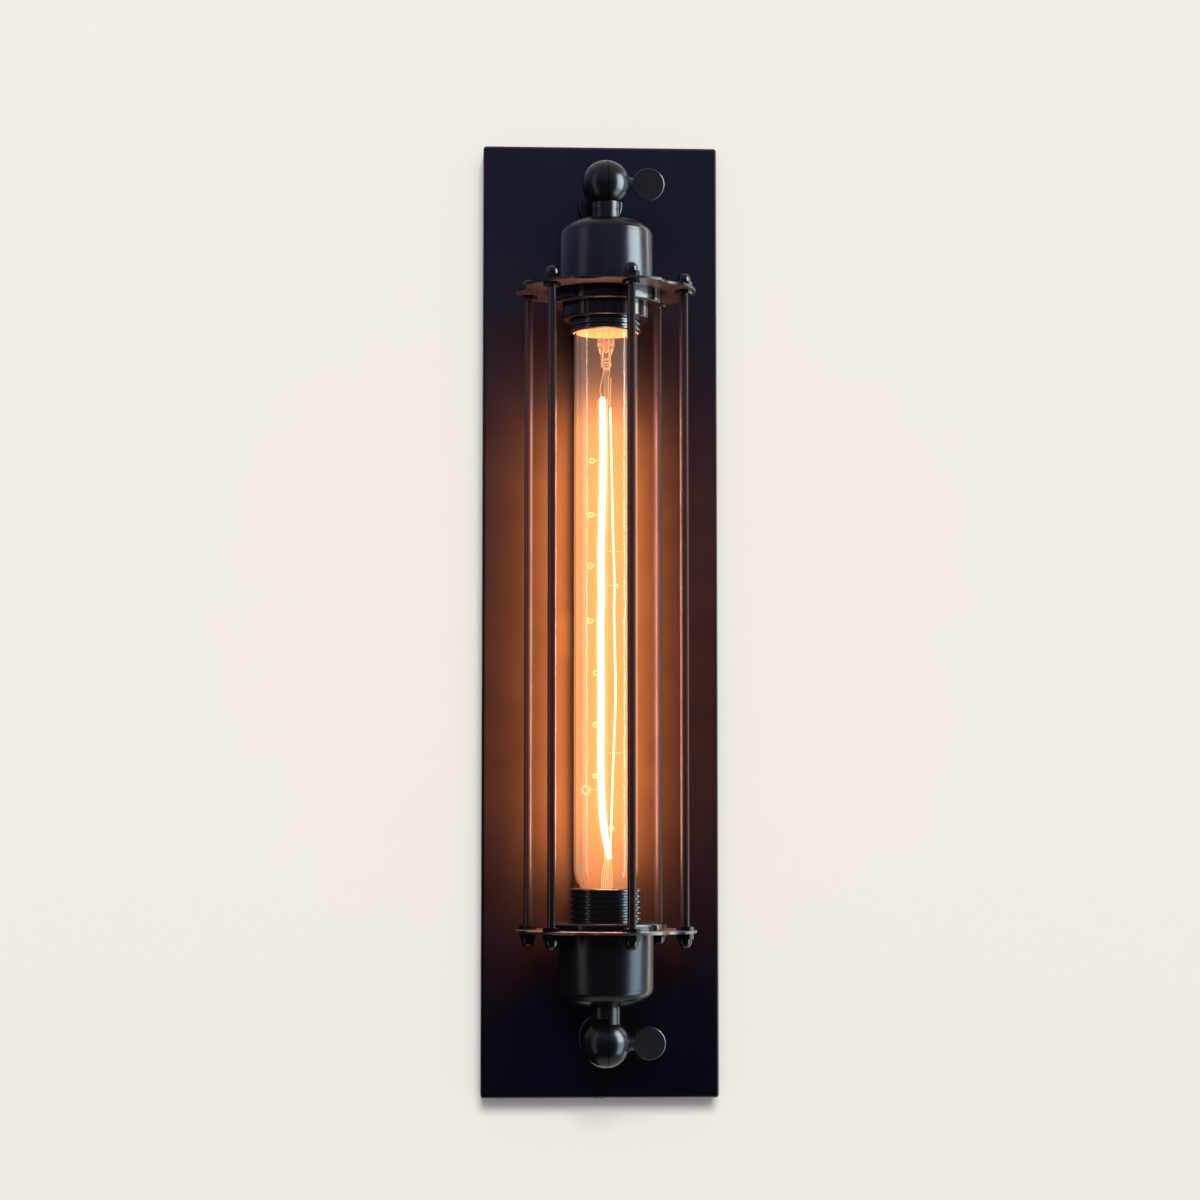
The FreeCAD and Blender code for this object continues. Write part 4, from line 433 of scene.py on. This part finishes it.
# The two leads from the cap, a hook on the right one and the wire down to the second strand.
LEADS = [
    [(-1.15, 0, 138), (-1.15, 0, 116), (-0.9, -0.2, 113), (-2.6, -0.5, 106), (-3.0, -0.7, 102.5),
     (-1.9, -0.7, 100.2)],
    [(1.15, 0, 138), (1.15, 0, 117), (1.9, -0.3, 114), (1.2, -0.4, 110), (1.5, 1.6, 101), (1.6, 2.0, 97)],
    [(1.1, -0.3, 113.4), (2.0, -0.5, 115), (2.5, -0.6, 116.4), (2.2, -0.6, 117)],
    [(2.4, -0.2, 110), (2.2, -0.5, 102), (2.0, -0.8, 95.6)],
]
# Heights and radius of the beaded rings where the stem is pinched.
PINCH_HEIGHTS = (118.6, 117.0, 115.4)
PINCH_RADIUS = 2.5
ANCHOR_WIRES = 6
ANCHOR_EYES = 5
COIL_STEPS = 7
CIRCLE_STEPS = 8

# Everything that curve_piece makes, for make_glow, which doesn't light it.
wires = []


def curve_piece(name, strands, radius, material, closed=False, tapered=False, bevel=3, resolution=6):
    """Round wires along smooth splines, turned into one mesh; the radius is in millimetres."""
    data = bpy.data.curves.new(f"{name}_route", "CURVE")
    data.dimensions = "3D"
    data.bevel_depth = radius * MM
    data.bevel_resolution = bevel
    data.resolution_u = resolution
    data.use_fill_caps = True
    for strand in strands:
        spline = data.splines.new("NURBS")
        spline.points.add(len(strand) - 1)
        for point, (x, y, z) in zip(spline.points, strand):
            point.co = (x * MM, LAMP_Y + y * MM, z * MM, 1)
        spline.use_cyclic_u = closed
        spline.order_u = 3
        spline.use_endpoint_u = not closed
        if tapered:
            spline.points[0].radius = 0.2
            spline.points[1].radius = 0.8
            spline.points[-1].radius = 0.5
    data.materials.append(material)
    route = add_object(f"{name}_route", data)
    shape = route.evaluated_get(bpy.context.evaluated_depsgraph_get())
    mesh = bpy.data.meshes.new_from_object(shape)
    bpy.data.objects.remove(route)
    piece = add_object(name, mesh)
    piece.visible_shadow = False
    piece.visible_diffuse = False
    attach(piece, "bulb")
    wires.append(piece)
    return piece


def walk(points, step):
    """Points at even steps along the straight runs between some points."""
    spots = []
    left = 0.0
    for start, end in zip(points, points[1:]):
        start, end = Vector(start), Vector(end)
        run = end - start
        along = left
        while along < run.length:
            spots.append(start + run * (along / run.length))
            along += step
        left = along - run.length
    return spots


def coil(points, radius, pitch):
    """A fine helix about the run through the points."""
    turns = []
    for index, spot in enumerate(walk(points, pitch / COIL_STEPS)):
        angle = math.tau * index / COIL_STEPS
        turns.append((spot.x + radius * math.cos(angle), spot.y + radius * math.sin(angle), spot.z))
    return turns


def circle(radius):
    """Points round a circle, as pairs."""
    angles = [math.tau * index / CIRCLE_STEPS for index in range(CIRCLE_STEPS)]
    return [(radius * math.cos(angle), radius * math.sin(angle)) for angle in angles]


def eye(x, y, z, radius):
    """An upright ring that faces the room."""
    return [(x + across, y, z + up) for across, up in circle(radius)]


def make_strands(materials):
    """The filament: a bright core and fine coils, with painted glare round the two front strands."""
    hot = materials["glowing_filament"]
    curve_piece("strand_core", [MAIN_STRAND], 1.45, hot, tapered=True)
    curve_piece("second_core", [SECOND_STRAND], 0.25, hot)
    strands = [coil(MAIN_STRAND[TIP_POINTS:], 1.5, 1.1), coil(SECOND_STRAND, 0.35, 0.8)]
    for route in BACK_STRANDS:
        strands.append(coil(route, 0.35, 0.7))
    coils = curve_piece("filament_coils", strands, 0.11, hot, bevel=1, resolution=1)
    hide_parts("filament")
    # Painted glare round the two front strands.
    for name, route, radius, look in (("main_glow", MAIN_STRAND, 1.95, "glow_near"),
                                      ("main_halo", MAIN_STRAND, 3.2, "glow_far"),
                                      ("second_glow", SECOND_STRAND, 0.6, "glow_near")):
        curve_piece(name, [route], radius, materials[look], tapered=True)


def make_supports(materials):
    """Support wires from the cane to both sides, most of them with an eye that holds a strand."""
    arms = []
    for x, z, radius in EYES:
        side = -1 if x < 0 else 1
        arms.append([(side * 0.6, 0, z), (side * 1.6, -0.2, z + 0.3), (x - side * radius, EYE_DEPTH, z)])
    for z in BARE_SUPPORTS:
        arms.append([(0.6, 0, z), (4, -0.4, z + 0.2), (8.2, EYE_DEPTH, z)])
    # The support arms and eyes glow: painted light of the filament on them.
    supports = curve_piece("support_arms", arms, 0.16, materials["support_wire"])
    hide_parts("filament_supports")
    eyes = [eye(x, EYE_DEPTH, z, radius) for x, z, radius in EYES]
    curve_piece("support_eyes", eyes, 0.15, materials["eye_wire_painted_glow"], closed=True)


def make_leads(materials):
    """Leads at the top of the bulb, the anchor wires at its foot and the rings of the stem's pinch."""
    # The leads, anchor wires and pinch rings glow: painted light of the filament on them.
    inner = curve_piece("inner_leads", LEADS, 0.19, materials["lead_wire"])
    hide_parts("bulb_leads")
    fan = []
    for index in range(ANCHOR_WIRES):
        x = -2.4 + index * 1.1
        fan.append([(0.3 + index * 0.35, -0.8, -114), (x * 0.7 + 0.4, -1.2, -120),
                    (x, -0.8 + index % 2, -127.5), (x * 0.8 + 0.2, 0.3, -131)])
    curve_piece("anchor_fan", fan, 0.17, materials["support_wire"])
    bends = []
    for index in range(ANCHOR_EYES):
        bends.append(eye(index * 1.0 - 1.6, -1.6 + (index % 2) * 0.5, -128 + (index % 3), 0.8))
    curve_piece("anchor_eyes", bends, 0.14, materials["lead_wire"], closed=True)
    beads = [[(across, back, z) for across, back in circle(PINCH_RADIUS)] for z in PINCH_HEIGHTS]
    curve_piece("pinch_rings", beads, 0.3, materials["stem_bead"], closed=True)


# ------------------------------------------------------------------ stage

STAGE_HALF = 4.0
# The wall stands a little behind the pan's back, so that the two don't share a plane.
WALL_Y = 0.6 * MM
FLOOR_Z = -1.1
FLOOR_GLOW = 0.32
CURTAIN_REACH = 2.4
# The curtain's edges in degrees: azimuth, where 0 is in front and 90 on the right, and elevation.
CURTAIN_AZIMUTHS = (-165, 50)
CURTAIN_ELEVATIONS = (-64, 50)
CURTAIN_COLUMNS = 18
CURTAIN_ROWS = 8
# Bluish light on the curtain, from nothing at the first height to its full level at the second.
CURTAIN_GLOW = (0.48, 0.55, 1.0)
CURTAIN_RISE = (0.1, 1.4)


def pale_graph(name):
    """Matt plaster in the wall's colour."""
    graph = Graph(name, WALL_COLOUR, 0.9, specular=0.0)
    graph.bump(40, 0.02 * MM)
    return graph


def stage_plane(name, corners, graph):
    mesh = bpy.data.meshes.new(name)
    mesh.from_pydata(corners, [], [(0, 1, 2, 3)])
    mesh.materials.append(graph.material)
    plane = add_object(name, mesh)
    return plane


def make_wall():
    """The wall behind the pan. It is clear from behind, casts no shadow itself, and no gloss mirrors it."""
    graph = pale_graph("wall_white")
    clear = graph.add("ShaderNodeBsdfTransparent")
    mix = graph.add("ShaderNodeMixShader")
    geometry = graph.add("ShaderNodeNewGeometry")
    graph.link(geometry, "Backfacing", mix, "Fac")
    graph.tree.links.new(graph.shader.outputs["BSDF"], mix.inputs[1])
    graph.tree.links.new(clear.outputs["BSDF"], mix.inputs[2])
    graph.link(mix, "Shader", graph.output, "Surface")
    half = STAGE_HALF
    corners = [(-half, WALL_Y, -half), (half, WALL_Y, -half), (half, WALL_Y, half), (-half, WALL_Y, half)]
    wall = stage_plane("wall", corners, graph)
    wall.visible_shadow = False
    wall.visible_glossy = False
    return wall


def make_floor():
    """Plain floor far below the lamp. It glows to be as pale as the wall, and lights nothing itself."""
    graph = pale_graph("floor_white")
    graph.glow(WALL_COLOUR, FLOOR_GLOW)
    half = STAGE_HALF
    corners = [(-half, -half, FLOOR_Z), (half, -half, FLOOR_Z), (half, half, FLOOR_Z), (-half, half, FLOOR_Z)]
    floor = stage_plane("floor", corners, graph)
    floor.visible_diffuse = False
    floor.visible_glossy = False
    return floor


def make_curtain():
    """Dark curtain round the camera's side, for reflections only: no view shows it, nor any shadow of it."""
    graph = Graph("curtain_grey", (0.012, 0.012, 0.015), 0.9, specular=0.0)
    graph.bump(30, 0.2 * MM)
    graph.glow(CURTAIN_GLOW)
    graph.link(graph.rise(*CURTAIN_RISE), "Result", graph.shader, "Emission Strength")
    first_azimuth, last_azimuth = CURTAIN_AZIMUTHS
    first_elevation, last_elevation = CURTAIN_ELEVATIONS
    mesh = bmesh.new()
    rows = []
    for row in range(CURTAIN_ROWS + 1):
        up = math.radians(first_elevation + (last_elevation - first_elevation) * row / CURTAIN_ROWS)
        line = []
        for column in range(CURTAIN_COLUMNS + 1):
            turn = math.radians(first_azimuth + (last_azimuth - first_azimuth) * column / CURTAIN_COLUMNS)
            line.append(mesh.verts.new((CURTAIN_REACH * math.cos(up) * math.sin(turn),
                                        -CURTAIN_REACH * math.cos(up) * math.cos(turn),
                                        CURTAIN_REACH * math.sin(up))))
        rows.append(line)
    for lower, upper in zip(rows, rows[1:]):
        for index in range(CURTAIN_COLUMNS):
            mesh.faces.new((lower[index], lower[index + 1], upper[index + 1], upper[index]))
    data = bpy.data.meshes.new("curtain")
    mesh.to_mesh(data)
    mesh.free()
    data.materials.append(graph.material)
    curtain = add_object("curtain", data)
    curtain.visible_camera = False
    curtain.visible_transmission = False
    curtain.visible_diffuse = False
    curtain.visible_shadow = False
    return curtain


# ------------------------------------------------------------------ lights

# Suns: strength, width and height in degrees. Both stand a little to the right of the front.
SUNS = {"key": (1.94, 16, 20), "fill": (0.96, 44, 3)}
SUN_TURN = 0.6
SUN_COLOUR = (1.0, 0.994, 1.0)

# Soft boxes: azimuth, distance, width, height, radiance, colour, height of the middle.
BOXES = {
    "right_panel": (74, 0.9, 0.56, 0.9, 32, (0.74, 0.90, 1.0), 0.34),
    "right_strip": (117, 0.15, 0.014, 0.62, 8, (1.0, 0.99, 0.96), 0.0),
    "right_low": (74, 0.9, 0.50, 0.8, 13, (0.52, 0.78, 1.0), -0.52),
    "left_panel": (-62, 0.9, 0.30, 1.7, 1.7, (1.0, 0.84, 0.88), 0.0),
}
# The pieces that each soft box leaves out.
LEFT_OUT = {
    "right_panel": ("back_pan", "bulb_glass", "cage_rods"),
    "right_strip": ("bulb_glass", "cage_rods"),
    "right_low": ("back_pan", "bulb_glass", "cage_rods"),
    "left_panel": ("back_pan", "bulb_glass"),
}
# The two pale streaks along the tube.
STREAKS = {
    "right_streak": (67, 0.9, 0.12, 1.1, 52, (1.0, 0.97, 0.93)),
    "left_streak": (-76, 0.9, 0.10, 1.1, 34, (1.0, 0.97, 0.95)),
}
ROD_RADIUS = 2 * MM
# The pieces that show from behind, where little else lights them.
BACK_PIECES = [
    "back_pan", "wall_bracket", "terminal_block", "block_inserts", "block_clamp_screws", "block_fixing_screw",
    "earth_studs", "earth_tags", "earth_nuts", "earth_lead", "live_lead", "neutral_lead", "stem_nuts",
    "stem_washers", "wall_nipples", "cover_screws",
]

# The filament's light: the height it covers, the width of its boxes, and their radiance and colour.
GLOW_TOP = 100 * MM
GLOW_FOOT = -118 * MM
GLOW_WIDTH = 13 * MM
GLOW_SIDES = 4
GLOW_LIGHTS = {"soft": (400, (1.0, 0.42, 0.26)), "gloss": (250, (1.0, 0.25, 0.05))}


def linked(name, objects, state):
    """A light-linking collection that takes in or leaves out some objects."""
    group = bpy.data.collections.new(name)
    for item in objects:
        group.objects.link(item)
    for item in group.collection_objects:
        item.light_linking.link_state = state
    return group


def light_only(light, names):
    """Lets a light fall on these nodes only."""
    pieces = [nodes[name] for name in names]
    light.light_linking.receiver_collection = linked(f"{light.name}_on", pieces, "INCLUDE")


def add_light(name, kind, energy, colour):
    data = bpy.data.lights.new(name, kind)
    data.energy = energy
    data.color = colour
    light = add_object(name, data)
    light.visible_camera = False
    light.visible_transmission = False
    return light


def strip(name, azimuth, distance, width, height, radiance, colour, middle=0.0):
    """An upright soft box round the lamp's axis; azimuth 0 is in front, 90 is on the right."""
    light = add_light(name, "AREA", radiance * math.pi * width * height, colour)
    light.data.shape = "RECTANGLE"
    light.data.size = width
    light.data.size_y = height
    angle = math.radians(azimuth)
    where = Vector((distance * math.sin(angle), LAMP_Y - distance * math.cos(angle), middle))
    light.location = where
    light.rotation_euler = (Vector((0, LAMP_Y, middle)) - where).to_track_quat("-Z", "Y").to_euler()
    return light


def make_world():
    """Plain pale surroundings, which light at a lower level than they show."""
    world = bpy.data.worlds.new("studio")
    bpy.context.scene.world = world
    world.use_nodes = True
    tree = world.node_tree
    tree.nodes.clear()
    link = tree.links.new
    light = tree.nodes.new("ShaderNodeBackground")
    light.inputs["Color"].default_value = (0.12, 0.12, 0.122, 1)
    seen = tree.nodes.new("ShaderNodeBackground")
    seen.inputs["Color"].default_value = (*WALL_COLOUR, 1)
    path = tree.nodes.new("ShaderNodeLightPath")
    mix = tree.nodes.new("ShaderNodeMixShader")
    factor = path.outputs["Is Camera Ray"]
    for other in ("Is Glossy Ray", "Is Transmission Ray"):
        either = tree.nodes.new("ShaderNodeMath")
        either.operation = "MAXIMUM"
        link(factor, either.inputs[0])
        link(path.outputs[other], either.inputs[1])
        factor = either.outputs["Value"]
    link(factor, mix.inputs["Fac"])
    link(light.outputs["Background"], mix.inputs[1])
    link(seen.outputs["Background"], mix.inputs[2])
    output = tree.nodes.new("ShaderNodeOutputWorld")
    link(mix.outputs["Shader"], output.inputs["Surface"])


def make_studio(stage):
    """Two suns for shade and shadow, soft boxes and streaks for gloss only, and a panel behind the pan."""
    make_world()
    for name, (strength, width, height) in SUNS.items():
        sun = add_light(name, "SUN", strength, SUN_COLOUR)
        sun.data.angle = math.radians(width)
        sun.rotation_euler = Euler((math.radians(90 - height), 0, math.radians(SUN_TURN)), "XYZ")
        sun.visible_glossy = False
    glossy = []
    for name, setting in BOXES.items():
        box = strip(name, *setting)
        left_out = stage + [nodes[piece] for piece in LEFT_OUT[name]]
        box.light_linking.receiver_collection = linked(f"{name}_off", left_out, "EXCLUDE")
        glossy.append(box)
    for name, setting in STREAKS.items():
        streak = strip(name, *setting)
        light_only(streak, ["bulb_glass"])
        glossy.append(streak)
    low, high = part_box("cage_rods")
    rod_circle = (high[0] - low[0]) / 2 - ROD_RADIUS
    edge = strip("rod_edge", 102, rod_circle + 0.12, 0.012, 0.62, 5, (1.0, 0.98, 0.98))
    light_only(edge, ["cage_rods"])
    glossy.append(edge)
    for light in glossy:
        light.visible_diffuse = False
    back = strip("back_panel", 165, 1.3, 1.2, 1.2, 0.9, (1, 1, 1), 0.4)
    light_only(back, BACK_PIECES)


def make_glow(stage):
    """Warm light of the filament: narrow boxes back to back that ride on the bulb.

    The soft ones light every piece outside the glass but the pan, the gloss ones only the pan's gloss.
    """
    middle = (GLOW_TOP + GLOW_FOOT) / 2
    height = GLOW_TOP - GLOW_FOOT
    unlit = stage + [nodes[name] for name in ("bulb_glass", "bulb_stem", "back_pan")] + wires
    receivers = {"soft": linked("glow_others", unlit, "EXCLUDE"),
                 "gloss": linked("glow_pan", [nodes["back_pan"]], "INCLUDE")}
    for index in range(GLOW_SIDES):
        azimuth = index * 360 / GLOW_SIDES
        for kind, (radiance, colour) in GLOW_LIGHTS.items():
            light = strip(f"glow_{kind}_{index}", azimuth, GLOW_WIDTH / 2, GLOW_WIDTH, height, radiance,
                          colour, middle)
            light.rotation_euler = Euler((math.radians(90), 0, math.radians(azimuth)), "XYZ")
            light.visible_diffuse = kind == "soft"
            light.light_linking.receiver_collection = receivers[kind]
            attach(light, "bulb")


make_camera()
materials = make_materials()
dress_nodes(materials)
make_cup("upper", materials)
make_cup("lower", materials)
make_strands(materials)
make_supports(materials)
make_leads(materials)
make_painted_sleeve_glow(materials)
stage = [make_wall(), make_floor(), make_curtain()]
make_studio(stage)
make_glow(stage)
